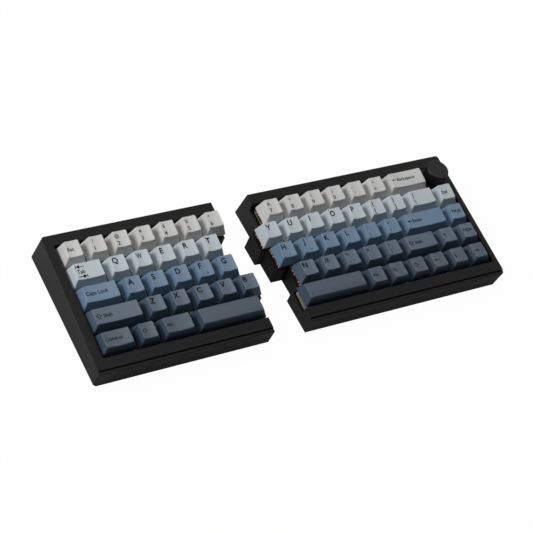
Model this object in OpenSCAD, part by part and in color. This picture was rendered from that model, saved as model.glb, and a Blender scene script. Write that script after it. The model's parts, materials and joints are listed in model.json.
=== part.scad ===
// Split ergonomic keyboard: two half cases cut from one staggered key grid, with a control knob.
// Sizes are in millimetres. The plate frame has x along the rows, y towards the back and
// z square to the switch plate; its origin is the back left corner of the key grid on the plate.

/* [Key grid] */
// Spacing of the keys, one key unit
key_pitch = 19.05; // [18.8:0.05:19.6]
// How far the right half stands off the shared grid
half_gap = 32.5; // [2:0.5:80]
// Downward travel of a key
key_travel = 4.0; // [2.5:0.1:4.0]

/* [Keycaps] */
// Gap between neighbouring keycap skirts
cap_gap = 0.95; // [0.8:0.05:1.2]
// Height of the keycap skirts above the switch plate at rest
cap_rest = 4.7; // [4.7:0.1:5.2]
// Keycap wall thickness
cap_wall = 1.3; // [1.0:0.1:1.4]
// Keycap roof thickness below the dish
cap_roof = 1.2; // [0.9:0.1:1.3]
// How far the left and right top edges stand in from the skirt
cap_side_inset = 3.4; // [3.0:0.1:3.7]
// Depth of the dish in a keycap top
dish_depth = 0.6; // [0.3:0.1:0.8]
// Bulge of the space bar tops
bar_bulge = 0.5; // [0.2:0.1:0.8]
// Diameter of the mounting post inside a keycap
post_d = 5.5; // [5.3:0.1:5.6]
// Length of the raised bar on the two homing keys
homing_bar = 4.0; // [3:0.5:6]

/* [Switches] */
// Square plate cut-out for a switch
switch_cut = 14.0; // [13.9:0.05:14.1]
// Width of the switch flange past its cut-out on each side
flange_lip = 0.8; // [0.5:0.1:0.9]
// Height of the switch housing above the plate
housing_top = 6.6; // [6.4:0.1:6.6]
// Height of the stem tip above the plate at rest
stem_top = 10.2; // [9.6:0.1:10.3]
// Diameter of the locating post under a switch
switch_post_d = 3.9; // [3.5:0.1:4.2]

/* [Plate and board] */
// Switch plate thickness
plate_t = 1.5; // [1.2:0.1:1.6]
// Depth of the circuit board's top face below the plate's top face
board_drop = 5.0; // [4.8:0.1:5.4]
// Circuit board thickness
board_t = 1.6; // [1.0:0.2:2.0]
// Width of a stabilizer housing
stab_w = 6.6; // [6.2:0.1:7.0]
// Length of a stabilizer housing
stab_l = 12.0; // [10:0.5:13]

/* [Case] */
// Tilt of the keys towards the typist, in degrees
case_tilt = 6.0; // [4:0.5:7]
// Bezel width outside the key grid on the left
bezel_left = 7.6; // [5:0.2:12]
// Bezel width outside the key grid on the right
bezel_right = 4.9; // [4.7:0.1:12]
// Bezel width behind the key grid
bezel_back = 9.8; // [8.6:0.2:14]
// Bezel width in front of the key grid
bezel_front = 10.4; // [8:0.2:14]
// Depth of the lip in front of the bezel
front_lip = 3.15; // [2.6:0.05:5]
// Height of the bezel above the switch plate
bezel_rise = 8.8; // [7:0.2:10]
// Step down from the bezel to the lip
lip_drop = 1.2; // [0.8:0.1:2]
// Height of the bezel's front edge above the desk
front_height = 20.4; // [19.6:0.2:24]
// Lean of the back wall, in degrees
back_lean = 10.5; // [2:0.5:14]
// Lean of the front wall, in degrees
front_lean = 4.9; // [1:0.1:8]
// Thickness of the outer walls
wall_t = 2.4; // [1.8:0.1:2.5]
// Thickness of the bottom
floor_t = 2.2; // [1.8:0.1:2.6]
// Radius of the outer case corners
corner_r = 2.5; // [1:0.5:4]
// Plate left between a switch cut-out and the stepped wall along the split
split_strip = 0.725; // [0.6:0.025:1.0]
// Height of the stepped wall above the switch plate
split_rise = 0.6; // [0.4:0.05:0.6]
// How far the stepped wall stands out over the grid line
split_over = 0.4; // [0.3:0.1:0.6]
// How far the stepped wall beside the back row stands to the left of its grid line
split_shift = 0.6; // [0:0.1:0.7]
// Gap between the stepped wall and the switch plate beside the rows' ends
split_gap = 0.8; // [0.4:0.1:0.8]
// How far the ends of the front and back strips stand left of the stepped wall, at the bezel
strip_shift = 1.6; // [1.4:0.1:2.0]
// Lean of the strip ends, in degrees
strip_lean = 2.6; // [1:0.1:2.8]
// Width of the rim that hangs from the bezel around the keys
rim_t = 1.4; // [1.0:0.1:1.5]
// Gap between the keys' grid and the bezel at the sides
well_side = 0.6; // [0.4:0.1:0.8]
// Gap between the keys' grid and the bezel at the back
well_back = 0.5; // [0.3:0.1:1.0]
// Gap between the keys' grid and the bezel at the front
well_front = 1.3; // [0.6:0.1:2.0]

/* [Knob] */
// Diameter of the control knob
knob_d = 18.6; // [16:0.2:18.6]
// Height of the control knob
knob_h = 9.2; // [8:0.2:12]
// Height of the knob's lower edge above the plate
knob_lift = 10.0; // [9.4:0.2:12]
// Diameter of the encoder shaft
shaft_d = 6.0; // [5:0.1:6.2]

/* [Feet] */
// Diameter of a rubber foot
foot_d = 10; // [8:1:14]
// Height of a rubber foot below the case
foot_h = 1.0; // [0.6:0.1:2]
// Depth of the pocket that holds a rubber foot
foot_pocket = 0.4; // [0.2:0.1:0.8]

/* [Hidden] */
$fn = 64;
// Smoothness of the shallow dishes and crowns
wide_fn = 720;
SIDE_L = 1;
SIDE_R = -1;
// Key widths in units, back row first
LEFT_ROWS = [[1, 1, 1, 1, 1, 1, 1], [1.5, 1, 1, 1, 1, 1], [1.75, 1, 1, 1, 1, 1],
             [2.25, 1, 1, 1, 1, 1], [1.5, 1, 1.5, 3]];
RIGHT_ROWS = [[1, 1, 1, 1, 1, 1, 2], [1, 1, 1, 1, 1, 1, 1, 1.5, 1], [1, 1, 1, 1, 1, 1, 2.25, 1],
              [1, 1, 1, 1, 1, 1.75, 1, 1], [3, 1, 1, 1, 1, 1, 1]];
// Sculpt of each row's keycap: front inset, front height, back inset, back height
CAP_ROWS = [[3.3, 10.1, 2.0, 11.6], [3.3, 9.0, 2.2, 10.7], [3.2, 8.3, 2.2, 9.6],
            [2.9, 9.4, 2.3, 9.0], [2.9, 8.6, 2.2, 8.0]];
CAP_COLOURS = [[0.78, 0.77, 0.75], [0.65, 0.68, 0.70], [0.35, 0.44, 0.54],
               [0.27, 0.31, 0.36], [0.28, 0.33, 0.38]];
CASE_BLACK = [0.10, 0.10, 0.10];
STEM_RED = [0.70, 0.12, 0.12];

// Clearances
fit = 0.2;
snug = 0.05;
seat = 0.1;
clear = 0.3;
big = 400;

// Key grid
rows = len(LEFT_ROWS);
grid_w = 16 * key_pitch;
grid_d = rows * key_pitch;
knob_u = 15.5;

// Keycap and switch details
bar_units = 3;
stab_units = 2;
stab_half = 11.9;
bar_stab_half = key_pitch;
post_lift = 2.1;
post_foot = cap_rest + post_lift;
slider_top = post_foot - seat;
slider_w = 6.6;
slider_d = 5.2;
slider_low = 1.6;
shoulder_w = 8.4;
shoulder_d = 4.4;
shoulder_low = 2.4;
shell_roof = 1.2;
cross_arm = 4.0;
cross_thin = 1.2;
cavity_w = 9.0;
cavity_floor = 1.2;
cavity_low = -board_drop + cavity_floor;
flange_t = 0.6;
switch_flange = switch_cut + 2 * flange_lip;
housing_top_w = 10.6;
housing_top_d = 10.0;
switch_post_l = 3.3;
stab_top = 2.4;
stab_stem_w = 4.8;
stab_stem_d = 3.5;
stab_gap = 0.4;
stab_stem_low = -board_drop + key_travel + stab_gap;
homing_w = 0.8;
homing_t = 0.4;
homing_y = -3.4;

// Case levels and edges in the plate frame
z_bezel = bezel_rise;
z_seam = bezel_rise - lip_drop;
frame_t = 3.4;
z_low = -45;
y_back = bezel_back;
y_edge = -grid_d - bezel_front;
y_lip = y_edge - front_lip;
groove = 0.5;
front_wall = front_lip - groove;
// The stepped wall takes what the plate and its clearances leave of the web between switches
split_wall = (key_pitch - switch_cut) / 2 - clear - fit - split_strip;
ledge = 1.4;
split_ledge = 0.7;
// The gap beside the plate ends where the ledge would reach the switches
plate_gap = min(split_gap, (key_pitch - switch_cut) / 2 + split_over + seat - split_wall - split_ledge - fit);
x_left = -bezel_left;
x_right = grid_w + bezel_right;
back_t = tan(back_lean);
front_t = tan(front_lean);
strip_t = tan(strip_lean);
tilt_s = sin(case_tilt);
tilt_c = cos(case_tilt);

// Placing on the desk
case_drop = front_height - foot_h - y_edge * tilt_s - z_bezel * tilt_c;
back_foot_y = (y_back + back_t * (z_bezel + case_drop / tilt_c)) / (1 - back_t * tilt_s / tilt_c);
back_foot_z = (-case_drop - back_foot_y * tilt_s) / tilt_c;
desk_back = back_foot_y * tilt_c - back_foot_z * tilt_s;
desk_front = y_lip * tilt_c - z_seam * tilt_s;
desk_mid = (desk_back + desk_front) / 2;
x_mid = (x_left + x_right + half_gap) / 2;

// Board, port and supports
board_back = 6.0;
board_lip = 3.0;
board_front = grid_d + board_lip;
port_w = 8.9;
port_h = 3.2;
port_l = 7.4;
port_shell = 0.4;
port_deep = 1.5;
port_u = 5.5;
port_out = 2.9;
port_y = board_back + port_out;
chip_w = 7;
chip_h = 0.9;
standoff_d = 6;
screw_d = 5.2;
screw_deep = 1.2;
foot_edge = 13;
foot_front = 16;

// Encoder and knob
enc_w = 12;
enc_h = 6.5;
bush_d = 7.6;
bush_top = 7.0;
shaft_seat = 1.5;
shaft_low = -board_drop + shaft_seat;
flat_foot = 1.0;
knob_bevel = 1.0;
knob_wall = 1.8;
knob_roof = 2.2;
hub_d = 10.5;
flat_cut = 0.8;

// Sum of the first n entries of a list
function part_sum(v, n) = n <= 0 ? 0 : v[n - 1] + part_sum(v, n - 1);
// Units where a row of the left half ends and the right half begins
function row_end(row) = part_sum(LEFT_ROWS[row], len(LEFT_ROWS[row]));
function row_keys(side, row) = side == SIDE_L ? LEFT_ROWS[row] : RIGHT_ROWS[row];
function key_w(side, row, i) = row_keys(side, row)[i];
function key_x(side, row, i) = key_pitch * ((side == SIDE_L ? 0 : row_end(row))
    + part_sum(row_keys(side, row), i) + key_w(side, row, i) / 2);
function key_y(row) = -(row + 0.5) * key_pitch;
// Stepped split line of the wall, drawn in from its outer face by s
function split_x(side, row, s) = row_end(row) * key_pitch - (row == 0 ? split_shift : 0)
    + side * (split_over - s);
function step_y(side, row, s) = -(row + 1) * key_pitch
    + side * sign(row_end(row) - row_end(row + 1)) * (clear + s);
function outer_x(side, o) = side == SIDE_L ? x_left + o : x_right - o;
// The right half's end rows reach out past the split line and are cut to a slant later
function is_end(row) = row == 0 || row == rows - 1;
function wall_x(side, row, s) = split_x(side, row, s) - (side == SIDE_R && is_end(row) ? 2 * strip_shift : 0);
// Stepped edge of what lies inside the wall, a gap away from it and straight with the rows' ends
function inner_x(side, row, s) = row_end(row) * key_pitch + side * (split_over - plate_gap - s);
function edge_x(side, row, s, inner) = inner ? inner_x(side, row, s) : wall_x(side, row, s);
function half_outline(side, o, s, inner) = concat(
    [[outer_x(side, o), -big], [outer_x(side, o), big], [edge_x(side, 0, s, inner), big]],
    [for (r = [0:rows - 2]) each [[edge_x(side, r, s, inner), step_y(side, r, s)],
                                  [edge_x(side, r + 1, s, inner), step_y(side, r, s)]]],
    [[edge_x(side, rows - 1, s, inner), -big]]);
// Side profile of the case between two levels, front and back drawn in by f and b
function back_line(z, b) = [y_back + back_t * (z_bezel - z) - b, z];
function front_line(z, f) = [y_lip + front_t * (z_seam - z) + f, z];
function side_profile(f, b, z0, z1) = [front_line(z0, f), back_line(z0, b), back_line(z1, b),
    front_line(z1, f)];
function stab_offset(w) = w < bar_units ? stab_half : bar_stab_half;

module on_desk(side) {
    translate([side == SIDE_L ? -x_mid : half_gap - x_mid, -desk_mid, case_drop + foot_h])
        rotate([case_tilt, 0, 0])
            children();
}

module at_key(side, row, i) {
    translate([key_x(side, row, i), key_y(row), 0])
        children();
}

module each_key(side) {
    for (r = [0:rows - 1])
        for (i = [0:len(row_keys(side, r)) - 1])
            at_key(side, r, i)
                children();
}

// Runs its children at both stabilizers of every wide key
module each_stab(side) {
    for (r = [0:rows - 1])
        for (i = [0:len(row_keys(side, r)) - 1])
            if (key_w(side, r, i) >= stab_units)
                at_key(side, r, i)
                    for (m = [-1, 1])
                        translate([m * stab_offset(key_w(side, r, i)), 0, 0])
                            children();
}

module at_knob() {
    translate([knob_u * key_pitch, key_y(0), 0])
        children();
}

module above(h) {
    translate([-big, -big, h])
        cube(2 * big);
}

module side_prism(pts) {
    translate([-big, 0, 0])
        rotate([90, 0, 90])
            linear_extrude(3 * big)
                polygon(pts);
}

// Case volume between two levels with the given insets at the outer end, split, front and back
module half_form(side, o, s, f, b, z0, z1, inner = false) {
    difference() {
        intersection() {
            translate([0, 0, z0])
                linear_extrude(z1 - z0)
                    polygon(half_outline(side, o, s, inner));
            side_prism(side_profile(f, b, z0, z1));
        }
        strip_waste(side, s, inner ? plate_gap : 0);
    }
}

// Where the slanted ends begin: at the strips on the left half, at the end rows on the right half
function slant_y(side, row, s) = side == SIDE_R
    ? (row == 0 ? step_y(side, 0, s) : step_y(side, rows - 2, s) + clear)
    : (row == 0 ? well_back - clear - s : -grid_d - well_front + clear + s);

// Waste past the slanted ends of one half
module strip_waste(side, s, g) {
    high = z_bezel + lip_drop;
    low = z_low - lip_drop;
    for (row = [0, rows - 1]) {
        x = split_x(side, row, s + g) - strip_shift;
        far = x + side * 3 * strip_shift;
        y_in = slant_y(side, row, s);
        translate([0, row == 0 ? big : y_in, 0])
            rotate([90, 0, 0])
                linear_extrude(row == 0 ? big - y_in : big)
                    polygon([[x + (z_bezel - high) * strip_t, high], [far, high],
                             [far, low], [x + (z_bezel - low) * strip_t, low]]);
    }
}

// Waste outside a rounded corner, edge along z, case towards +x and -y
module corner_waste() {
    difference() {
        translate([-corner_r, -corner_r, -big])
            cube([2 * corner_r, 2 * corner_r, 2 * big]);
        translate([corner_r, -corner_r, -big])
            cylinder(r = corner_r, h = 2 * big);
    }
}

module outer_corners(side) {
    turn = side == SIDE_L ? 0 : 1;
    translate([outer_x(side, 0), y_back, z_bezel])
        rotate([back_lean, 0, 0])
            mirror([turn, 0, 0])
                corner_waste();
    translate([outer_x(side, 0), y_lip, z_seam])
        rotate([front_lean, 0, 0])
            mirror([turn, 0, 0])
                mirror([0, 1, 0])
                    corner_waste();
}

module well_box(side, grow, z0, z1) {
    x_in = side == SIDE_L ? -well_side - grow : -big;
    x_out = side == SIDE_L ? big : grid_w + well_side + grow;
    y_in = -grid_d - well_front - grow;
    translate([x_in, y_in, z0])
        cube([x_out - x_in, well_back + grow - y_in, z1 - z0]);
}

// Opens the low stepped wall between the front and back strips
module split_window(side) {
    x_in = side == SIDE_L ? row_end(0) * key_pitch / 2 : 0;
    translate([x_in, -grid_d - well_front, split_rise])
        cube([11 * key_pitch - x_in, grid_d + well_front + well_back, big]);
}

// Slot-shaped bar along y, on the board's top face
module port_slot(side, w, h, y0, l) {
    translate([port_x(side), y0, -board_drop + snug + port_h / 2])
        rotate([90, 0, 180])
            linear_extrude(l) {
                square([w - h, h], center = true);
                for (m = [-1, 1])
                    translate([m * (w - h) / 2, 0])
                        circle(d = h);
            }
}

function port_x(side) = side == SIDE_L ? port_u * key_pitch : (port_u + 3) * key_pitch;

// Board supports stand on row lines, clear of the switch posts
function standoffs(side) = side == SIDE_L
    ? [[0.6, 1], [3.5, 1], [6.0, 1], [0.6, 4], [3.5, 4], [6.4, 4]]
    : [[7.6, 1], [11.2, 1], [14.8, 1], [8.0, 4], [11.2, 4], [15.0, 4]];

module each_standoff(side) {
    for (p = standoffs(side))
        translate([p[0] * key_pitch, -p[1] * key_pitch, 0])
            children();
}

module each_foot(side) {
    near = side == SIDE_L ? x_left + foot_edge - x_mid
                          : row_end(0) * key_pitch + foot_edge + half_gap - x_mid;
    far = side == SIDE_L ? row_end(0) * key_pitch - foot_edge - x_mid
                         : x_right - foot_edge + half_gap - x_mid;
    for (x = [near, far])
        for (y = [desk_front - desk_mid + foot_front, desk_back - desk_mid - foot_edge])
            translate([x, y, 0])
                children();
}

module bottom_case(side) {
    color(CASE_BLACK)
    difference() {
        intersection() {
            on_desk(side)
                difference() {
                    half_form(side, 0, 0, 0, 0, z_low, z_seam);
                    outer_corners(side);
                    split_window(side);
                }
            above(foot_h);
        }
        on_desk(side)
            half_form(side, wall_t, split_wall, front_wall, wall_t, -plate_t, z_seam + 1);
        difference() {
            intersection() {
                on_desk(side)
                    half_form(side, wall_t + ledge, split_wall + split_ledge, front_wall + ledge,
                              wall_t + ledge, z_low, 0, true);
                above(foot_h + floor_t);
            }
            on_desk(side)
                each_standoff(side)
                    translate([0, 0, z_low])
                        cylinder(d = standoff_d, h = -z_low - board_drop - board_t - snug);
        }
        on_desk(side)
            port_slot(side, port_w + 2 * clear, port_h + 2 * clear, port_y - port_l, big);
        each_foot(side)
            cylinder(d = foot_d + 2 * seat, h = foot_h + foot_pocket);
        screw_pockets(side);
    }
}

// Recesses for the screw heads, square to the desk under each board support
module screw_pockets(side) {
    for (p = standoffs(side))
        translate([p[0] * key_pitch - x_mid + (side == SIDE_L ? 0 : half_gap), 0, 0])
            translate([0, screw_y(p[1]), 0])
                cylinder(d = screw_d, h = foot_h + screw_deep);
}

// Desk position under a support that leans with the plate
function screw_y(r) = -r * key_pitch * tilt_c - desk_mid + (case_drop - r * key_pitch * tilt_s) * tilt_s;

module top_case(side) {
    color(CASE_BLACK)
    on_desk(side)
    difference() {
        union() {
            intersection() {
                half_form(side, 0, 0, front_lip, 0, z_seam, z_bezel);
                side_prism([[y_edge, z_low], [big, z_low], [big, big], [y_edge, big]]);
            }
            intersection() {
                half_form(side, wall_t + fit, split_wall + fit, 0, wall_t + fit, z_bezel - frame_t,
                          z_bezel - seat);
                side_prism([[y_edge, z_low], [big, z_low], [big, big], [y_edge, big]]);
            }
            intersection() {
                well_box(side, rim_t, seat, z_bezel - seat);
                half_form(side, wall_t + fit, split_wall + fit, 0, 0, 0, z_bezel);
            }
        }
        well_box(side, 0, -1, z_bezel + 1);
        outer_corners(side);
    }
}

module switch_plate(side) {
    color([0.80, 0.74, 0.64])
    on_desk(side)
    difference() {
        half_form(side, wall_t + fit, split_wall + fit, front_wall + fit, wall_t + fit, -plate_t, 0, true);
        each_key(side)
            cube([switch_cut, switch_cut, 4 * plate_t], center = true);
        each_stab(side)
            cube([stab_w + 2 * seat, stab_l + 2 * seat, 4 * plate_t], center = true);
        if (side == SIDE_R)
            at_knob()
                cube([switch_cut, switch_cut, 4 * plate_t], center = true);
    }
}

module circuit_board(side) {
    top = -board_drop;
    on_desk(side) {
        color([0.05, 0.20, 0.12])
        difference() {
            intersection() {
                half_form(side, wall_t + ledge + fit, split_wall + split_ledge + fit, 0, 0, top - board_t, top,
                          true);
                side_prism([[-board_front, -big], [board_back, -big], [board_back, big], [-board_front, big]]);
            }
            each_key(side)
                translate([0, 0, top - 2 * board_t])
                    cylinder(d = switch_post_d + clear, h = 3 * board_t);
        }
        color([0.70, 0.70, 0.72])
        difference() {
            port_slot(side, port_w, port_h, port_y - port_l, port_l);
            port_slot(side, port_w - 2 * port_shell, port_h - 2 * port_shell,
                      port_y - port_l + port_deep, port_l);
        }
        color([0.12, 0.12, 0.13])
        translate([port_x(side) - chip_w / 2, -key_pitch - chip_w / 2, top - board_t - chip_h - snug])
            cube([chip_w, chip_w, chip_h]);
    }
}

module trapezoid_prism(w0, w1, h, l) {
    rotate([90, 0, 0])
        linear_extrude(l, center = true)
            polygon([[-w0 / 2, 0], [w0 / 2, 0], [w1 / 2, h], [-w1 / 2, h]]);
}

module switch_housing() {
    rise = housing_top - flange_t;
    body_w = switch_cut - 2 * seat;
    difference() {
        union() {
            translate([-body_w / 2, -body_w / 2, -board_drop])
                cube([body_w, body_w, board_drop + flange_t]);
            translate([-switch_flange / 2, -switch_flange / 2, 0])
                cube([switch_flange, switch_flange, flange_t]);
            translate([0, 0, flange_t])
                intersection() {
                    trapezoid_prism(body_w, housing_top_w, rise, 2 * body_w);
                    rotate([0, 0, 90])
                        trapezoid_prism(body_w, housing_top_d, rise, 2 * body_w);
                }
            translate([0, 0, -board_drop - switch_post_l])
                cylinder(d = switch_post_d, h = switch_post_l + 1);
        }
        translate([-cavity_w / 2, -cavity_w / 2, cavity_low])
            cube([cavity_w, cavity_w, housing_top - shell_roof - cavity_low]);
        translate([-slider_w / 2 - fit, -slider_d / 2 - 2.5 * fit, cavity_low])
            cube([slider_w + 2 * fit, slider_d + 5 * fit, big]);
    }
}

module switch_housings(side) {
    color([0.86, 0.72, 0.70])
    on_desk(side)
        each_key(side)
            switch_housing();
}

module stabilizers(side) {
    low = -board_drop;
    color([0.14, 0.14, 0.14])
    on_desk(side)
        each_stab(side)
            difference() {
                translate([-stab_w / 2, -stab_l / 2, low])
                    cube([stab_w, stab_l, stab_top - low]);
                translate([-stab_stem_w / 2 - fit, -stab_stem_d / 2 - fit, low - 1])
                    cube([stab_stem_w + 2 * fit, stab_stem_d + 2 * fit, big]);
            }
}

module rubber_feet(side) {
    color([0.05, 0.05, 0.05])
    each_foot(side)
        cylinder(d = foot_d, h = foot_h + foot_pocket);
}

module rotary_encoder() {
    color([0.55, 0.56, 0.58])
    on_desk(SIDE_R)
        at_knob()
            difference() {
                union() {
                    translate([-enc_w / 2, -enc_w / 2, -board_drop])
                        cube([enc_w, enc_w, enc_h]);
                    cylinder(d = bush_d, h = bush_top);
                }
                translate([0, 0, shaft_low - fit])
                    cylinder(d = shaft_d + fit, h = big);
            }
}

// Round below, with one flat over the part that carries the knob
module shaft_form(grow, z0, z1) {
    difference() {
        translate([0, 0, z0])
            cylinder(d = shaft_d + 2 * grow, h = z1 - z0);
        translate([-shaft_d, shaft_d / 2 - flat_cut + grow, knob_lift - flat_foot])
            cube([2 * shaft_d, shaft_d, big]);
    }
}

module encoder_shaft() {
    color([0.75, 0.76, 0.78])
    on_desk(SIDE_R)
        at_knob()
            shaft_form(0, shaft_low, knob_lift + knob_h - knob_roof - seat);
}

module control_knob() {
    r = knob_d / 2;
    roof = knob_h - knob_roof;
    color([0.06, 0.06, 0.06])
    on_desk(SIDE_R)
        at_knob()
            difference() {
                translate([0, 0, knob_lift])
                    rotate_extrude()
                        polygon([[0, seat], [hub_d / 2, seat], [hub_d / 2, roof], [r - knob_wall, roof],
                                 [r - knob_wall, 0], [r, 0], [r, knob_h - knob_bevel],
                                 [r - knob_bevel, knob_h], [0, knob_h]]);
                shaft_form(snug, 0, knob_lift + roof);
            }
}

// Keycap body as two crossing wedge profiles, shrunk by wall, lowered by drop and carried down by foot
module cap_form(w, row, wall, drop, foot) {
    c = CAP_ROWS[row];
    half_w = w / 2 - wall;
    half_d = cap_half() - wall;
    lean = 2 * cap_side_inset / (c[1] + c[3]);
    lean_f = c[0] / c[1];
    lean_b = c[2] / c[3];
    top = c[1] + c[3];
    fh = c[1] - drop;
    bh = c[3] - drop;
    intersection() {
        translate([0, 0, -foot])
            trapezoid_prism(2 * (half_w + lean * foot), 2 * (half_w - lean * top), top + foot, 3 * half_d);
        rotate([90, 0, 90])
            linear_extrude(3 * half_w, center = true)
                polygon([[-half_d - lean_f * foot, -foot], [half_d + lean_b * foot, -foot],
                         [half_d - lean_b * bh, bh], [-half_d + lean_f * fh, fh]]);
    }
}

// Half depth of a keycap at the skirt
function cap_half() = (key_pitch - cap_gap) / 2;
function cap_front(c) = -cap_half() + c[0];
function cap_rear(c) = cap_half() - c[2];
function cap_slope(c) = atan2(c[3] - c[1], cap_rear(c) - cap_front(c));
// Height of the top plane over the middle of the key
function cap_plane(c, y) = c[1] + (c[3] - c[1]) * (y - cap_front(c)) / (cap_rear(c) - cap_front(c));

// Shallow cylinder that hollows a keycap top along the key's depth
module dish(w, row) {
    c = CAP_ROWS[row];
    half = w / 2 - cap_side_inset;
    r = half * half / (2 * dish_depth) + dish_depth / 2;
    translate([0, 0, cap_plane(c, 0)])
        rotate([90 + cap_slope(c), 0, 0])
            translate([0, r - dish_depth, 0])
                cylinder(r = r, h = 2 * key_pitch, center = true, $fn = wide_fn);
}

// Rounded crown on a space bar, a slice of a long cylinder
module crown(w, row) {
    c = CAP_ROWS[row];
    half = (cap_rear(c) - cap_front(c)) / 2;
    r = half * half / (2 * bar_bulge) + bar_bulge / 2;
    mid = (cap_rear(c) + cap_front(c)) / 2;
    intersection() {
        translate([0, mid, cap_plane(c, mid)])
            rotate([cap_slope(c), 0, 0])
                translate([0, 0, bar_bulge - r])
                    rotate([0, 90, 0])
                        cylinder(r = r, h = w, center = true, $fn = wide_fn);
        translate([0, mid, cap_plane(c, mid)])
            rotate([cap_slope(c), 0, 0])
                translate([-w, -half, -bar_bulge])
                    cube([2 * w, 2 * half, 3 * bar_bulge]);
        trapezoid_prism(w, w - 4 * cap_side_inset, c[1] + c[3], 2 * key_pitch);
    }
}

module posts(offsets, z0) {
    for (x = offsets)
        translate([x, 0, z0])
            cylinder(d = post_d, h = key_pitch);
}

module cross(grow, h) {
    translate([-cross_arm / 2 - grow, -cross_thin / 2 - grow, 0])
        cube([cross_arm + 2 * grow, cross_thin + 2 * grow, h]);
    translate([-cross_thin / 2 - grow, -cross_arm / 2 - grow, 0])
        cube([cross_thin + 2 * grow, cross_arm + 2 * grow, h]);
}

function mount_offsets(w) = w < stab_units ? [0] : [-stab_offset(w), 0, stab_offset(w)];

module keycap(units, row, homing) {
    c = CAP_ROWS[row];
    w = units * key_pitch - cap_gap;
    is_bar = units >= bar_units;
    offsets = mount_offsets(units);
    difference() {
        union() {
            cap_form(w, row, 0, 0, 0);
            if (is_bar)
                crown(w, row);
        }
        if (!is_bar)
            dish(w, row);
        difference() {
            cap_form(w, row, cap_wall, cap_roof + (is_bar ? 0 : dish_depth), post_lift);
            posts(offsets, post_lift);
        }
        for (x = offsets)
            translate([x, 0, 0])
                cross(snug, stem_top - cap_rest + seat);
    }
    if (homing)
        translate([-homing_bar / 2, homing_y - homing_w / 2, cap_plane(c, homing_y) - dish_depth - homing_t])
            cube([homing_bar, homing_w, 2 * homing_t]);
}

module switch_stem() {
    translate([-slider_w / 2, -slider_d / 2, slider_low])
        cube([slider_w, slider_d, slider_top - slider_low]);
    translate([-shoulder_w / 2, -shoulder_d / 2, shoulder_low])
        cube([shoulder_w, shoulder_d, housing_top - shell_roof - clear - shoulder_low]);
    translate([0, 0, slider_top - seat])
        cross(0, stem_top - slider_top + seat);
}

module stab_stem() {
    translate([-stab_stem_w / 2, -stab_stem_d / 2, stab_stem_low])
        cube([stab_stem_w, stab_stem_d, slider_top - stab_stem_low]);
    translate([0, 0, slider_top - seat])
        cross(0, stem_top - slider_top + seat);
}

// One key: cap, switch stem and, on wide keys, the stabilizer stems
module key(side, row, i, homing) {
    units = key_w(side, row, i);
    on_desk(side)
        at_key(side, row, i) {
            color(CAP_COLOURS[row])
                translate([0, 0, cap_rest])
                    keycap(units, row, homing);
            color(STEM_RED)
                switch_stem();
            if (units >= stab_units)
                color(STEM_RED)
                    for (m = [-1, 1])
                        translate([m * stab_offset(units), 0, 0])
                            stab_stem();
        }
}

function run(side, row, first, last) = [for (i = [first:last]) [side, row, i]];
function letters(names, side, row, first) = [for (i = [0:len(names) - 1])
    [str("key_", names[i]), [[side, row, first + i]]]];

// Key nodes: name and the keys in it as side, row, place
KEYS = concat(
    letters(["q", "w", "e", "r", "t"], SIDE_L, 1, 1),
    letters(["a", "s", "d", "f", "g"], SIDE_L, 2, 1),
    letters(["z", "x", "c", "v", "b"], SIDE_L, 3, 1),
    letters(["y", "u", "i", "o", "p"], SIDE_R, 1, 0),
    letters(["h", "j", "k", "l"], SIDE_R, 2, 0),
    letters(["n", "m"], SIDE_R, 3, 0),
    [["left_number_keys", run(SIDE_L, 0, 0, 6)],
     ["tab_key", run(SIDE_L, 1, 0, 0)],
     ["caps_lock_key", run(SIDE_L, 2, 0, 0)],
     ["left_shift_key", run(SIDE_L, 3, 0, 0)],
     ["left_modifier_keys", run(SIDE_L, 4, 0, 2)],
     ["left_space_bar", run(SIDE_L, 4, 3, 3)],
     ["right_number_keys", run(SIDE_R, 0, 0, 5)],
     ["backspace_key", run(SIDE_R, 0, 6, 6)],
     ["bracket_keys", run(SIDE_R, 1, 5, 7)],
     ["navigation_keys", [[SIDE_R, 1, 8], [SIDE_R, 2, 7], [SIDE_R, 3, 7]]],
     ["quote_keys", run(SIDE_R, 2, 4, 5)],
     ["enter_key", run(SIDE_R, 2, 6, 6)],
     ["comma_keys", run(SIDE_R, 3, 2, 4)],
     ["right_shift_key", run(SIDE_R, 3, 5, 5)],
     ["arrow_keys", concat([[SIDE_R, 3, 6]], run(SIDE_R, 4, 4, 6))],
     ["right_space_bar", run(SIDE_R, 4, 0, 0)],
     ["right_modifier_keys", run(SIDE_R, 4, 1, 3)]]);
// Homing keys, one under each index finger
HOMING = [[SIDE_L, 2, 4], [SIDE_R, 2, 1]];

bottom_case(SIDE_L);  // left_bottom_case
top_case(SIDE_L);  // left_top_case
switch_plate(SIDE_L);  // left_switch_plate
circuit_board(SIDE_L);  // left_circuit_board
switch_housings(SIDE_L);  // left_switch_housings
stabilizers(SIDE_L);  // left_stabilizers
rubber_feet(SIDE_L);  // left_rubber_feet
bottom_case(SIDE_R);  // right_bottom_case
top_case(SIDE_R);  // right_top_case
switch_plate(SIDE_R);  // right_switch_plate
circuit_board(SIDE_R);  // right_circuit_board
switch_housings(SIDE_R);  // right_switch_housings
stabilizers(SIDE_R);  // right_stabilizers
rubber_feet(SIDE_R);  // right_rubber_feet
rotary_encoder();
encoder_shaft();
control_knob();
for (k = KEYS)
    for (p = k[1])
            key(p[0], p[1], p[2], len([for (h = HOMING) if (h == p) h]) > 0);
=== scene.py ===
"""Looks of a split keyboard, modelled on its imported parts."""

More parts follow.
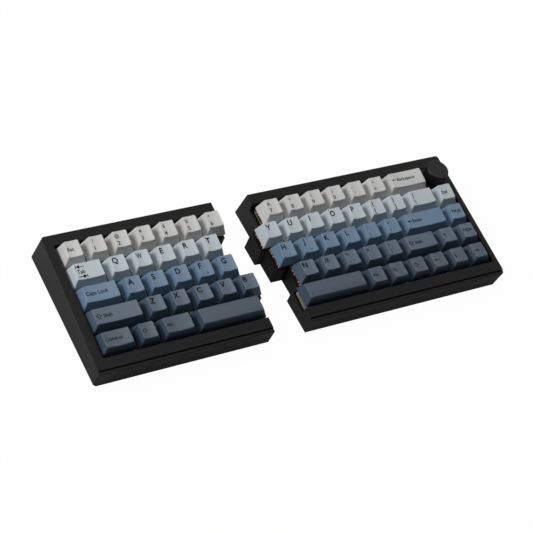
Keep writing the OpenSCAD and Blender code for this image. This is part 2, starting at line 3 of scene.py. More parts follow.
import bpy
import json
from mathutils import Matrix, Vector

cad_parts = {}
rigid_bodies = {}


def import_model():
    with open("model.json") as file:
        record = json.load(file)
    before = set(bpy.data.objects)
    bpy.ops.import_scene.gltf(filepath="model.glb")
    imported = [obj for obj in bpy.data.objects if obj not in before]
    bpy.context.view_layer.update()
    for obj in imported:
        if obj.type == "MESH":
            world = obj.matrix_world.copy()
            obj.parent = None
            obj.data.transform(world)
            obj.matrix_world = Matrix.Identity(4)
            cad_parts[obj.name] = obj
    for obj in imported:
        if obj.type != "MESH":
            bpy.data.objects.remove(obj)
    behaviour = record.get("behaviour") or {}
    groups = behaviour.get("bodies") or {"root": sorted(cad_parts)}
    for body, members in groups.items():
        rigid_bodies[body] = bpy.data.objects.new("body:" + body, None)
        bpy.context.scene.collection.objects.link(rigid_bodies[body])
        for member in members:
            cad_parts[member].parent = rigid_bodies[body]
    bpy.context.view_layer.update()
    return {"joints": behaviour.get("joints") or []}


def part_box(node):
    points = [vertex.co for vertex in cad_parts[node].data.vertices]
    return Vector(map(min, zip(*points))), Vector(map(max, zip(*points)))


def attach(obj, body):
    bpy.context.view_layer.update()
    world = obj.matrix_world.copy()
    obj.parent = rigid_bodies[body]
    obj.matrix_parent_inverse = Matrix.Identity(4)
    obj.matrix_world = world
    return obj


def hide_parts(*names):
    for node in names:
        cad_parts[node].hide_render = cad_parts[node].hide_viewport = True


bl_info = {
    "name": "Split Keyboard",
    "version": (1, 0, 0),
    "blender": (4, 5, 0),
    "location": "View3D > Sidebar > Keyboard",
    "description": "Models the finished caps, legends, cases and knob of a split keyboard",
    "category": "Object",
}

import json
import math
from collections import namedtuple

import bmesh
import bpy
from bpy.props import FloatProperty, FloatVectorProperty, PointerProperty
from mathutils import Matrix, Vector

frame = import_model()
MM = 0.001
SIDES = ("left", "right")
# Points nearer than this are one point
WELD = 0.002 * MM
# Edges that turn more than this are rounded
SHARP = math.radians(40)
# A face looks up or down when the z of its normal passes these
FACING, LEVEL = 0.9, 0.999
# Kinds of legend
LETTER, PAIR, SIGNS, WORD, MARK, BARE = "letter", "pair", "signs", "word", "mark", "bare"


def letter_keys(names):
    """Single letter keys, each a node of its own."""
    return [("key_" + n, 1, (LETTER, n.upper())) for n in names]


def like_keys(node, kind, legends):
    """Keys one unit wide that share a node."""
    return [(node, 1, (kind, text)) for text in legends]


# Key rows from the back: node, width in units, legend
LEFT_KEYS = (
    like_keys("left_number_keys", WORD, ["Esc"])
    + like_keys("left_number_keys", PAIR, ["!\n1", "@\n2", "#\n3", "$\n4", "%\n5", "^\n6"]),
    [("tab_key", 1.5, (MARK, "tab"))] + letter_keys("qwert"),
    [("caps_lock_key", 1.75, (WORD, "Caps Lock"))] + letter_keys("asdfg"),
    [("left_shift_key", 2.25, (MARK, "shift"))] + letter_keys("zxcvb"),
    [("left_modifier_keys", 1.5, (WORD, "Control")), ("left_modifier_keys", 1, (MARK, "diamond")),
     ("left_modifier_keys", 1.5, (WORD, "Alt")), ("left_space_bar", 3, (BARE, ""))],
)
RIGHT_KEYS = (
    like_keys("right_number_keys", PAIR, ["&\n7", "*\n8", "(\n9", ")\n0", "_\n-", "+\n="])
    + [("backspace_key", 2, (MARK, "back"))],
    letter_keys("yuiop") + like_keys("bracket_keys", SIGNS, ["{\n[", "}\n]"])
    + [("bracket_keys", 1.5, (SIGNS, "|\n\\")), ("navigation_keys", 1, (WORD, "Del"))],
    letter_keys("hjkl") + like_keys("quote_keys", SIGNS, [":\n;", "\"\n'"])
    + [("enter_key", 2.25, (MARK, "enter")), ("navigation_keys", 1, (WORD, "PgUp"))],
    letter_keys("nm") + like_keys("comma_keys", SIGNS, ["<\n,", ">\n.", "?\n/"])
    + [("right_shift_key", 1.75, (MARK, "shift")), ("arrow_keys", 1, (MARK, "up")),
       ("navigation_keys", 1, (WORD, "PgDn"))],
    [("right_space_bar", 3, (BARE, "")), ("right_modifier_keys", 1, (WORD, "Alt")),
     ("right_modifier_keys", 1, (WORD, "Fn")), ("right_modifier_keys", 1, (MARK, "diamond"))]
    + like_keys("arrow_keys", MARK, ["left", "down", "right"]),
)
HOMING_NODES = ("key_f", "key_j")
# Screws and sockets of each half, in key units from the left and rows from the back
SCREWS = {"left": ((0.6, 1), (3.5, 1), (6.0, 1), (0.6, 4), (3.5, 4), (6.4, 4)),
          "right": ((7.6, 1), (11.2, 1), (14.8, 1), (8.0, 4), (11.2, 4), (15.0, 4))}
SOCKETS = {"left": 5.5, "right": 8.5}
# Keys from these widths on have stabilizers, or are space bars
STABILIZED_UNITS = 2
BAR_UNITS = 3
Key = namedtuple("Key", "side row units node legend matrix")


def joint(name):
    """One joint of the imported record."""
    return next(j for j in frame["joints"] if j["name"] == name)


def middle_x(node):
    """Middle of a node along the rows."""
    low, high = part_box(node)
    return (low[0] + high[0]) / 2


def length(name, description, default):
    """A length property, its default in millimetres."""
    return FloatProperty(name=name, description=description, default=default * MM, unit="LENGTH")


def lengths(name, description, default):
    """A row of length properties, their defaults in millimetres."""
    return FloatVectorProperty(name=name, description=description, size=len(default),
                               default=tuple(d * MM for d in default), unit="LENGTH")


def tint(name, description, default):
    """A colour property."""
    return FloatVectorProperty(name=name, description=description, default=default,
                               subtype="COLOR")


def share(name, description, default):
    """A property that is a share of something else."""
    return FloatProperty(name=name, description=description, default=default, subtype="FACTOR")


def spot(name, description, default):
    """A place in the scene, in metres."""
    return FloatVectorProperty(name=name, description=description, default=default,
                               subtype="XYZ")


def power(name, description, default):
    """Power of a lamp."""
    return FloatProperty(name=name, description=description, default=default, subtype="POWER")


SCULPT = "Front inset, front height, back inset and back height"
WEIGHT = "Stroke growth as a share of the type size"


class CapSizes(bpy.types.PropertyGroup):
    """Sizes of the keycaps."""
    pitch: length("Key spacing", "One key unit", 19.05)
    gap: length("Cap gap", "Gap between skirts", 0.95)
    rest: length("Skirt height", "Skirts above the plate at rest", 4.7)
    side_inset: length("Side inset", "Top edge in from the skirt, left and right", 3.4)
    row_1: lengths("Row 1 sculpt", SCULPT, (3.3, 10.1, 2.0, 11.6))
    row_2: lengths("Row 2 sculpt", SCULPT, (3.3, 9.0, 2.2, 10.7))
    row_3: lengths("Row 3 sculpt", SCULPT, (3.2, 8.3, 2.2, 9.6))
    row_4: lengths("Row 4 sculpt", SCULPT, (2.9, 9.4, 2.3, 9.0))
    row_5: lengths("Row 5 sculpt", SCULPT, (2.9, 8.6, 2.2, 8.0))
    dish: length("Dish depth", "Hollow of a cap top", 0.6)
    bulge: length("Bar bulge", "Crown of a space bar", 0.5)
    wall: length("Wall", "Cap wall thickness", 1.3)
    roof: length("Roof", "Cap roof thickness", 1.2)
    corner: length("Corner round", "Rounding of the upright edges", 1.0)
    rim: length("Rim round", "Rounding of the top edges", 0.4)
    homing_length: length("Homing bar", "Length of the raised bar on homing keys", 4.0)
    homing_width: length("Homing bar width", "Width of the bar", 0.8)
    homing_rise: length("Homing bar rise", "Bar above the dish", 0.4)
    homing_place: length("Homing bar place", "Bar from the middle of the key", -3.4)


class StemSizes(bpy.types.PropertyGroup):
    """Sizes of the switch stems, the stabilizer stems and the posts that hold them."""
    slider: lengths("Slider", "Width and depth of a switch slider", (6.6, 5.2))
    slider_low: length("Slider foot", "Foot above the plate", 1.6)
    slider_top: length("Slider top", "Top above the plate", 6.7)
    shoulder: lengths("Shoulder", "Width and depth of the stop on a slider", (8.4, 4.4))
    shoulder_low: length("Shoulder foot", "Foot of the stop", 2.4)
    shoulder_top: length("Shoulder top", "Top of the stop", 5.1)
    guide: lengths("Stabilizer slider", "Width and depth of a stabilizer slider", (4.8, 3.5))
    guide_low: length("Stabilizer foot", "Foot above the plate", -0.6)
    arm: length("Cross arm", "Length of the cross arms", 4.0)
    thin: length("Cross width", "Width of the cross arms", 1.2)
    tip: length("Tip", "Tip of the cross above the plate", 10.2)
    post: length("Post", "Diameter of the post in a cap", 5.5)
    post_lift: length("Post lift", "Post's foot above the skirt", 2.1)
    snug: length("Press clearance", "Room round the cross in its post", 0.05)
    stabilizer: length("Stabilizer offset", "Stabilizer from the middle of a wide key", 11.9)
    round: length("Edge round", "Rounding of the stem's edges", 0.12)


class HousingSizes(bpy.types.PropertyGroup):
    """Sizes of a switch housing, from the plate's top face."""
    body: length("Body", "Width of the body in the plate", 13.8)
    low: length("Body foot", "Foot on the board", -5.0)
    flange: length("Flange", "Width of the flange", 15.6)
    flange_height: length("Flange height", "Thickness of the flange", 0.6)
    top: length("Top", "Top above the plate", 6.6)
    top_size: lengths("Top size", "Width and depth of the top", (10.6, 10.0))
    roof: length("Roof", "Thickness of the top", 1.2)
    shaft: lengths("Shaft", "Width and depth of the slider's shaft", (7.0, 6.2))
    cavity: length("Cavity", "Width of the hollow inside", 9.0)
    cavity_low: length("Cavity floor", "Floor of the hollow", -3.8)
    post: length("Post", "Diameter of the locating post", 3.9)
    post_length: length("Post length", "Post below the body", 3.3)
    round: length("Edge round", "Rounding of the top's edges", 0.4)
    clip: lengths("Clip", "Width, length and height of a clip", (0.65, 1.1, 1.0))
    clip_out: length("Clip place", "Clip from the middle", 7.0)
    clip_steps: lengths("Clip steps", "Clips along the edge, from its middle", (3.65, 6.35))


class CapColours(bpy.types.PropertyGroup):
    """Colours of the keycap rows and their parts."""
    row_1: tint("Row 1", "Ivory", (0.545, 0.541, 0.525))
    row_2: tint("Row 2", "Pale grey blue", (0.457, 0.512, 0.545))
    row_3: tint("Row 3", "Steel blue", (0.11, 0.182, 0.268))
    row_4: tint("Row 4", "Slate", (0.047, 0.076, 0.115))
    row_5: tint("Row 5", "Dark slate", (0.024, 0.044, 0.072))
    ink: tint("Ink", "Legend ink", (0.006, 0.006, 0.007))
    stem: tint("Stem", "Switch stems", (0.36, 0.03, 0.03))


class LegendSizes(bpy.types.PropertyGroup):
    """Sizes of the legends on the caps."""
    letter: length("Letter size", "Type size of letters", 6.2)
    pair: length("Digit size", "Type size of digits", 4.8)
    sign: length("Sign size", "Type size of a sign above a digit", 3.9)
    word: length("Word size", "Type size of words", 4.1)
    mark: length("Mark size", "Length of an arrow mark", 5.2)
    stroke: length("Mark stroke", "Line width of a mark", 0.5)
    pair_step: length("Pair step", "Lower sign below the upper one", 6.0)
    widest: length("Widest letter", "Wider letters are drawn narrower", 4.5)
    letter_place: lengths("Letter place", "Left edge and middle from the top's edges", (1.0, 4.1))
    pair_place: lengths("Pair place", "Middle from the left and back top edges", (2.6, 6.8))
    word_place: lengths("Word place", "Left edge and middle line from the top's edges", (0.9, 6.6))
    bold: share("Letter weight", WEIGHT, 0.024)
    fine: share("Digit weight", WEIGHT, 0.009)
    medium: share("Word weight", WEIGHT, 0.015)
    lift: length("Lift", "Ink above the cap", 0.02)
    thick: length("Ink thickness", "Thickness of the ink", 0.03)


class CaseLooks(bpy.types.PropertyGroup):
    """Edges and colours of the cases, the knob and the inner parts."""
    edge: length("Edge round", "Rounding of the case edges", 0.35)
    bezel: length("Bezel level", "Bezel above the plate", 8.8)
    lip: length("Lip level", "Front lip above the plate", 7.6)
    lip_back: length("Lip line", "Back edge of the front lip", -105.0)
    underside: length("Underside", "Case bottom above the desk", 1.0)
    knob_width: length("Knob", "Knob diameter", 18.6)
    knob_height: length("Knob height", "Height of the knob", 9.2)
    knob_bevel: length("Knob bevel", "Bevel round the top", 1.0)
    knob_rim: length("Knob rim", "Flat ring inside the bevel", 0.5)
    knob_wall: length("Knob wall", "Wall of the skirt", 1.8)
    knob_roof: length("Knob roof", "Thickness of the top", 2.2)
    knob_hub: length("Knob hub", "Diameter of the hub", 10.5)
    cover_margin: lengths("Cover margin", "Knob cover past its unit, right and back", (0.5, 0.4))
    cover_levels: lengths("Cover levels", "Knob cover's faces above the plate", (7.4, 8.7))
    cover_hole: length("Cover hole", "Hole for the shaft", 8.4)
    screw_width: length("Screw", "Screw head diameter", 4.8)
    screw_height: length("Screw height", "Screw head height", 0.9)
    screw_sunk: length("Screw depth", "Head in from the case bottom", 0.28)
    tongue: lengths("Tongue", "Socket tongue's width, depth and thickness", (6.6, 4.6, 0.7))
    tongue_place: lengths("Tongue place", "Tongue behind the grid and above the plate",
                          (5.4, -3.35))
    board_top: length("Board top", "Board's top face against the plate", -4.98)
    board_low: length("Board underside", "Board's lower face against the plate", -6.62)
    foot_width: length("Foot", "Diameter of a foot", 10.0)
    colour: tint("Case", "Black moulded plastic", (0.0042, 0.0042, 0.0044))
    knob: tint("Knob", "Black knob", (0.0036, 0.0036, 0.0038))
    plate: tint("Plate", "Sand coloured plate", (0.36, 0.315, 0.255))
    # Housing shell: its dark red is painted shade, standing in for the shade on the pale pink
    # housing plastic down between the caps; the clips keep that pale pink
    housing: tint("Housing", "Dark red housings", (0.060, 0.012, 0.010))
    clip: tint("Clip", "Pale pink clips of the housings", (0.72, 0.52, 0.48))
    board: tint("Board", "Solder mask", (0.008, 0.035, 0.02))
    steel: tint("Steel", "Bare metal", (0.56, 0.56, 0.57))
    rubber: tint("Rubber", "Feet and small black mouldings", (0.013, 0.013, 0.013))


class StageLooks(bpy.types.PropertyGroup):
    """Camera, floor and light."""
    camera_place: spot("Camera", "Camera position", (-0.54858, -0.59605, 0.88841))
    camera_aim: spot("Aim", "Point in the middle of the view", (-0.0079, 0.00017, 0.010))
    camera_roll: FloatProperty(name="Roll", description="Turn of the camera about its view line",
                               default=math.radians(20.737), subtype="ANGLE")
    lens: FloatProperty(name="Lens", description="Focal length in millimetres on the sensor",
                        default=105.34)
    floor: tint("Floor", "Pale floor", (0.7, 0.7, 0.7))
    key: power("Key light", "Power of the left soft box", 25.0)
    key_place: spot("Key place", "Place of the left soft box", (-1.55, 0.4, 1.05))
    top: power("Top light", "Power of the soft box overhead", 12.0)
    top_place: spot("Top place", "Place of the soft box overhead", (0.0, 0.6, 1.6))
    edge: power("Edge light", "Power of the soft box behind the right end", 5.0)
    edge_place: spot("Edge place", "Place of the soft box behind the right end", (1.45, 0.7, 0.9))
    box: length("Box size", "Side of a soft box", 800.0)
    world: FloatProperty(name="World", description="Strength of the surrounding light",
                         default=0.07)
    floor_seen: FloatVectorProperty(name="White floor", size=2, default=(0.98, 0.2),
                                    description="Share of white in the floor, seen and mirrored")
    world_seen: FloatVectorProperty(name="White world", size=2, default=(1.0, 0.4),
                                    description="Strength of the world, seen and mirrored")


def caps():
    """Sizes of the keycaps, as set in the scene."""
    return bpy.context.scene.keyboard_caps


def stems():
    """Sizes of the stems, as set in the scene."""
    return bpy.context.scene.keyboard_stems


def colours():
    """Colours of the caps, as set in the scene."""
    return bpy.context.scene.keyboard_colours


def legends():
    """Sizes of the legends, as set in the scene."""
    return bpy.context.scene.keyboard_legends


def case_looks():
    """Looks of the cases and inner parts, as set in the scene."""
    return bpy.context.scene.keyboard_case


# The plate's frame: x along the rows, y to the back, z square to the plate.
# The knob stands in it at these units, this row and this height.
KNOB_UNITS = 15.5
KNOB_ROW = 0.5
KNOB_LIFT = 10.0 * MM


def plate_matrix(side):
    """Plate frame of one half, found from the knob's axis and the keys."""
    turn = joint("knob_turn")
    axis = Vector(turn["axis"])
    tilt = math.atan2(-axis.y, axis.z)
    pitch = caps().pitch
    rotation = Matrix.Rotation(tilt, 4, "X")
    local = Vector((KNOB_UNITS * pitch, -KNOB_ROW * pitch, KNOB_LIFT))
    origin = Vector(turn["pos_m"]) - rotation @ local
    if side == "left":
        origin.x -= middle_x("key_y") - middle_x("key_t") - pitch
    return Matrix.Translation(origin) @ rotation


def key_places():
    """Every key with the matrix of its middle on the plate."""
    pitch = caps().pitch
    for side, rows in zip(SIDES, (LEFT_KEYS, RIGHT_KEYS)):
        plate = plate_matrix(side)
        for row, keys in enumerate(rows):
            at = 0.0 if side == "left" else sum(k[1] for k in LEFT_KEYS[row])
            for node, units, legend in keys:
                middle = Vector(((at + units / 2) * pitch, -(row + 0.5) * pitch, 0))
                yield Key(side, row, units, node, legend, plate @ Matrix.Translation(middle))
                at += units


# Small modelling helpers
def deselect():
    """Nothing selected and nothing active."""
    if bpy.context.object and bpy.context.object.mode != "OBJECT":
        bpy.ops.object.mode_set(mode="OBJECT")
    bpy.ops.object.select_all(action="DESELECT")


def activate(obj):
    """Only obj is selected and active."""
    deselect()
    obj.select_set(True)
    bpy.context.view_layer.objects.active = obj


def apply_place(obj):
    """Puts an object's place into its mesh."""
    activate(obj)
    bpy.ops.object.transform_apply(location=True, rotation=True, scale=True)


def apply_modifier(obj, kind, **settings):
    """Adds a modifier, sets it and applies it."""
    activate(obj)
    modifier = obj.modifiers.new(kind.title(), kind)
    for key, value in settings.items():
        setattr(modifier, key, value)
    bpy.ops.object.modifier_apply(modifier=modifier.name)


def pick(obj, verts=None, edges=None, faces=None):
    """Edit mode on obj with only the elements that pass the test selected."""
    activate(obj)
    bpy.ops.object.mode_set(mode="EDIT")
    kind = "VERT" if verts else "EDGE" if edges else "FACE"
    bpy.ops.mesh.select_mode(type=kind)
    bpy.ops.mesh.select_all(action="DESELECT")
    mesh = bmesh.from_edit_mesh(obj.data)
    test = verts or edges or faces
    for element in (mesh.verts if verts else mesh.edges if edges else mesh.faces):
        if test(element):
            element.select_set(True)
    bmesh.update_edit_mesh(obj.data)


def block(name, size, place):
    """A box of the given size, its middle at place."""
    deselect()
    bpy.ops.mesh.primitive_cube_add(size=1, location=place)
    obj = bpy.context.object
    obj.name = name
    obj.scale = size
    apply_place(obj)
    return obj


def drum(sides, radius, tall, place=(0, 0, 0), turn=(0, 0, 0)):
    """A cylinder, its middle at place."""
    deselect()
    bpy.ops.mesh.primitive_cylinder_add(vertices=sides, radius=radius, depth=tall,
                                        location=place, rotation=turn)
    return bpy.context.object


def faces_up(face, limit=FACING):
    """Whether a face looks up."""
    return face.normal.z > limit


def faces_down(face, limit=FACING):
    """Whether a face looks down."""
    return face.normal.z < -limit


def leave_edit():
    """Back to object mode."""
    bpy.ops.object.mode_set(mode="OBJECT")


def cut(obj, tool, how="DIFFERENCE"):
    """Cuts obj with a tool object, which is then removed."""
    apply_modifier(obj, "BOOLEAN", object=tool, operation=how, solver="EXACT")
    bpy.data.objects.remove(tool)


def smooth(obj, angle=math.radians(32)):
    """Smooth shading across shallow edges."""
    activate(obj)
    bpy.ops.object.shade_smooth_by_angle(angle=angle)


def flatten(obj):
    """Keeps large faces flat to the eye, so that only the rounded edges turn."""
    apply_modifier(obj, "WEIGHTED_NORMAL", mode="FACE_AREA", weight=100, keep_sharp=True)


def copy_to(source, name, matrix):
    """A copy of a modelled piece with its own mesh, its place in the mesh."""
    mesh = source.data.copy()
    mesh.transform(matrix)
    obj = bpy.data.objects.new(name, mesh)
    bpy.context.scene.collection.objects.link(obj)
    return obj


def discard(objects):
    """Removes the models that copies were made from."""
    for obj in objects:
        bpy.data.objects.remove(obj)


def paint(obj, material):
    """Gives a piece or a CAD node one material."""
    obj.data.materials.clear()
    obj.data.materials.append(material)


# Finishes: the part of a pattern's range that is used, and the scale of slow drift in colour
PATTERN_LOW, PATTERN_HIGH = 0.3, 0.7
DRIFT_SCALE = 60.0
GLOSS_SPREAD = 0.06
# Bare metal: stretch, scale and tone of its drawn lines, and its roughness
LINE_STRETCH = (1.0, 40.0, 40.0)
LINE_SCALE, LINE_TONE = 90.0, 0.12
METAL_ROUGH = (0.25, 0.42)
BOARD_ROUGH = (0.22, 0.38)
BOARD_WEAVE = 900.0
# Depth and strength of the bump on metal and boards
FINE_BUMP = (0.02 * MM, 0.2)


def new_finish(name):
    """A node material with its shader and the object's coordinates."""
    material = bpy.data.materials.new(name)
    material.use_nodes = True
    nodes = material.node_tree.nodes
    shader = nodes["Principled BSDF"]
    place = nodes.new("ShaderNodeTexCoord")
    return material, nodes, material.node_tree.links, shader, place.outputs["Object"]


def noise(nodes, links, place, scale, detail=3.0):
    """A noise pattern on the object's coordinates."""
    pattern = nodes.new("ShaderNodeTexNoise")
    pattern.inputs["Scale"].default_value = scale
    pattern.inputs["Detail"].default_value = detail
    links.new(place, pattern.inputs["Vector"])
    return pattern.outputs["Fac"]


def vary_colour(nodes, links, shader, fac, colour, spread):
    """Base colour that drifts a little lighter and darker with a pattern."""
    ramp = nodes.new("ShaderNodeValToRGB")
    low, high = ramp.color_ramp.elements
    low.position, high.position = PATTERN_LOW, PATTERN_HIGH
    low.color = [c * (1 - spread) for c in colour] + [1]
    high.color = [c * (1 + spread) for c in colour] + [1]
    links.new(fac, ramp.inputs["Fac"])
    links.new(ramp.outputs["Color"], shader.inputs["Base Color"])


def vary_roughness(nodes, links, shader, fac, low, high):
    """Roughness between two values with a pattern."""
    span = nodes.new("ShaderNodeMapRange")
    span.inputs["From Min"].default_value = PATTERN_LOW
    span.inputs["From Max"].default_value = PATTERN_HIGH
    span.inputs["To Min"].default_value = low
    span.inputs["To Max"].default_value = high
    links.new(fac, span.inputs["Value"])
    links.new(span.outputs["Result"], shader.inputs["Roughness"])


def raise_grain(nodes, links, shader, fac, depth, strength):
    """Bump from a pattern."""
    bump = nodes.new("ShaderNodeBump")
    bump.inputs["Strength"].default_value = strength
    bump.inputs["Distance"].default_value = depth
    links.new(fac, bump.inputs["Height"])
    links.new(bump.outputs["Normal"], shader.inputs["Normal"])


def moulded_plastic(name, colour, grain, depth, rough, spread=0.04, specular=0.35,
                    strength=0.35):
    """Matte moulded plastic: drifting colour, fine grain and uneven gloss."""
    material, nodes, links, shader, place = new_finish(name)
    fine = noise(nodes, links, place, grain)
    broad = noise(nodes, links, place, DRIFT_SCALE)
    vary_colour(nodes, links, shader, broad, colour, spread)
    vary_roughness(nodes, links, shader, fine, rough - GLOSS_SPREAD, rough + GLOSS_SPREAD)
    raise_grain(nodes, links, shader, fine, depth, strength)
    shader.inputs["Specular IOR Level"].default_value = specular
    return material


def brushed_metal(name, colour):
    """Bare metal with fine drawn lines."""
    material, nodes, links, shader, place = new_finish(name)
    mapping = nodes.new("ShaderNodeMapping")
    mapping.inputs["Scale"].default_value = LINE_STRETCH
    links.new(place, mapping.inputs["Vector"])
    lines = noise(nodes, links, mapping.outputs["Vector"], LINE_SCALE)
    vary_colour(nodes, links, shader, lines, colour, LINE_TONE)
    vary_roughness(nodes, links, shader, lines, *METAL_ROUGH)
    raise_grain(nodes, links, shader, lines, *FINE_BUMP)
    shader.inputs["Metallic"].default_value = 1.0
    return material


class KeyboardOperator(bpy.types.Operator):
    """Shared settings of the keyboard's operators."""
    bl_options = {"REGISTER", "UNDO"}


# Facets of the tools that shape the caps
DISH_SIDES, DISH_SIDES_PER_MM = 256, 4.4
CROWN_SIDES = 512
POST_SIDES = 32


def sculpt(row):
    """Front inset, front height, back inset and back height of a row's cap."""
    return tuple(getattr(caps(), f"row_{row + 1}"))


def wedge(name, width, row, shrink=0.0, drop=0.0, foot=0.0):
    """Cap-shaped block: leaning sides under a sloping top, shrunk by a wall."""
    front_in, front_h, back_in, back_h = sculpt(row)
    half_w = width / 2 - shrink
    depth = caps().pitch - caps().gap - 2 * shrink
    lean = 2 * caps().side_inset / (front_h + back_h)
    tall = back_h
    obj = block(name, (2 * half_w, depth, tall), (0, 0, tall / 2))
    for sign, inset, high in ((-1, front_in, front_h), (1, back_in, back_h)):
        for z_old, z_new in ((0.0, -foot), (tall, high - drop)):
            pick(obj, verts=lambda v: v.co.y * sign > 0 and abs(v.co.z - z_old) < tall / 4)
            narrow = (half_w - lean * z_new) / half_w
            bpy.ops.transform.resize(value=(narrow, 1, 1), center_override=(0, 0, 0))
            inwards = -sign * inset * z_new / high
            bpy.ops.transform.translate(value=(0, inwards, z_new - z_old))
    leave_edit()
    return obj


def top_middle(row):
    """Middle of a cap's top, its slope and half its depth."""
    front_in, front_h, back_in, back_h = sculpt(row)
    half = (caps().pitch - caps().gap) / 2
    front, back = -half + front_in, half - back_in
    slope = math.atan2(back_h - front_h, back - front)
    return Vector((0, (front + back) / 2, (front_h + back_h) / 2)), slope, (back - front) / 2


def dish_tool(width, row):
    """Shallow cylinder that hollows a cap's top."""
    half = width / 2 - caps().side_inset
    radius = half * half / (2 * caps().dish) + caps().dish / 2
    middle, slope, _ = top_middle(row)
    lift = Vector((0, -math.sin(slope), math.cos(slope))) * (radius - caps().dish)
    sides = max(DISH_SIDES, int(DISH_SIDES_PER_MM * radius / MM))
    return drum(sides, radius, 2 * caps().pitch, middle + lift, (math.pi / 2 + slope, 0, 0))


def crown_tool(width, row):
    """Long cylinder whose upper side is a space bar's crown."""
    middle, slope, half = top_middle(row)
    radius = half * half / (2 * caps().bulge) + caps().bulge / 2
    lift = Vector((0, -math.sin(slope), math.cos(slope))) * (caps().bulge - radius)
    return drum(CROWN_SIDES, radius, 2 * width, middle + lift, (0, math.pi / 2, 0))


def post_offsets(units):
    """Where a cap's posts stand along its width."""
    if units < STABILIZED_UNITS:
        return [0.0]
    side = caps().pitch if units >= BAR_UNITS else stems().stabilizer
    return [-side, 0.0, side]


def join(objects):
    """Makes one object of several."""
    activate(objects[0])
    for obj in objects[1:]:
        obj.select_set(True)
    bpy.ops.object.join()
    return objects[0]


def add_posts(cap, units, roof):
    """Posts under a cap's roof with cross-shaped sockets for the stems."""
    sizes = stems()
    tall, middle = roof - sizes.post_lift, (roof + sizes.post_lift) / 2
    posts = [drum(POST_SIDES, sizes.post / 2, tall, (x, 0, middle)) for x in post_offsets(units)]
    cut(cap, join(posts), "UNION")
    high = sizes.tip - caps().rest + 2 * sizes.snug
    long, thin = sizes.arm + 2 * sizes.snug, sizes.thin + 2 * sizes.snug
    for across, deep in ((long, thin), (thin, long)):
        slots = [block("socket", (across, deep, 2 * high), (x, 0, 0)) for x in post_offsets(units)]
        cut(cap, join(slots))


def model_cap(units, row):
    """One cap shell: wedge, rounded corners, dish or crown, soft rim, hollow with posts."""
    width = units * caps().pitch - caps().gap
    is_bar = units >= BAR_UNITS
    obj = wedge(f"cap_{row + 1}_{units}", width, row, drop=-2 * caps().bulge if is_bar else 0.0)
    upright = caps().corner * 2
    pick(obj, edges=lambda e: abs(e.verts[0].co.z - e.verts[1].co.z) > upright)
    bpy.ops.mesh.bevel(offset=caps().corner, segments=4, affect="EDGES")
    if is_bar:
        cut(obj, crown_tool(width, row), "INTERSECT")
    else:
        cut(obj, dish_tool(width, row))
    apply_modifier(obj, "BEVEL", width=caps().rim, segments=3, limit_method="ANGLE",
                   angle_limit=SHARP, use_clamp_overlap=False)
    drop = caps().roof + (0.0 if is_bar else caps().dish)
    cut(obj, wedge("hollow", width, row, caps().wall, drop, stems().post_lift))
    add_posts(obj, units, top_middle(row)[0].z - drop + caps().roof / 2)
    smooth(obj)
    flatten(obj)
    return obj


class KEYBOARD_OT_caps(KeyboardOperator):
    """Sculpted, dished caps on every key"""
    bl_idname = "keyboard.caps"
    bl_label = "Keycaps"

    def execute(self, context):
        finishes = [moulded_plastic(f"cap_plastic_row_{r}", getattr(colours(), f"row_{r}"),
                                    grain=1900.0, depth=0.03 * MM, rough=0.5, specular=0.65)
                    for r in range(1, len(LEFT_KEYS) + 1)]
        models = {}
        up = Matrix.Translation((0, 0, caps().rest))
        for i, key in enumerate(key_places()):
            node, shape = key.node, (key.units, key.row)
            if shape not in models:
                models[shape] = model_cap(*shape)
            cap = copy_to(models[shape], f"cap_{i:02d}_{node}", key.matrix @ up)
            paint(cap, finishes[key.row])
            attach(cap, node)
            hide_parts(node)
        discard(models.values())
        return {"FINISHED"}


def model_stem(slider, low, shoulder):
    """Slider with a cross-shaped tip and, on a switch, the stop that holds it in."""
    sizes = stems()
    tall = sizes.slider_top - low
    obj = block("stem", (slider[0], slider[1], tall), (0, 0, low + tall / 2))
    if shoulder:
        stop = sizes.shoulder_top - sizes.shoulder_low
        cut(obj, block("stop", (sizes.shoulder[0], sizes.shoulder[1], stop),
                       (0, 0, sizes.shoulder_low + stop / 2)), "UNION")
    foot = sizes.slider_top - sizes.snug
    for across, deep in ((sizes.arm, sizes.thin), (sizes.thin, sizes.arm)):
        cut(obj, block("arm", (across, deep, sizes.tip - foot),
                       (0, 0, (sizes.tip + foot) / 2)), "UNION")
    apply_modifier(obj, "BEVEL", width=sizes.round, segments=2, limit_method="ANGLE",
                   angle_limit=SHARP)
    smooth(obj)
    return obj


class KEYBOARD_OT_stems(KeyboardOperator):
    """Switch stems and stabilizer stems under every cap"""
    bl_idname = "keyboard.stems"
    bl_label = "Stems"

    def execute(self, context):
        finish = moulded_plastic("stem_plastic", colours().stem, grain=2400.0, depth=0.02 * MM,
                                 rough=0.4)
        sizes = stems()
        switch = model_stem(sizes.slider, sizes.slider_low, True)
        guide = model_stem(sizes.guide, sizes.guide_low, False)
        for i, key in enumerate(key_places()):
            node = key.node
            parts = [copy_to(guide if x else switch, f"stem_{i:02d}_{node}",
                             key.matrix @ Matrix.Translation((x, 0, 0)))
                     for x in post_offsets(key.units)]
            stem = join(parts)
            paint(stem, finish)
            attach(stem, node)
            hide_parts(node)
        discard((switch, guide))
        return {"FINISHED"}


# Legends lie on a flat sheet over the key, are laid on the dish and get the thickness of ink.
# Marks are drawn in shares of their length.
HEAD_LONG, HEAD_HALF = 0.42, 0.24
DIAMOND_HALF = 0.3
TAB_WIDE, TAB_STEP = 1.25, 0.95
SHIFT_WORD, LINE_WORD, LINE_ARROW = 0.65, 0.55, 0.8
BROAD_HEAD, BROAD_STEM, BROAD_LOW, BROAD_TIP, BROAD_DISC = 0.46, 0.22, -0.42, 0.5, 0.3
WORD_MIDDLE = 0.35
ARROW_TURNS = {"left": 0.0, "up": -0.5, "down": 0.5, "right": 1.0}
ARROW_WORDS = {"back": "Backspace", "enter": "Enter"}


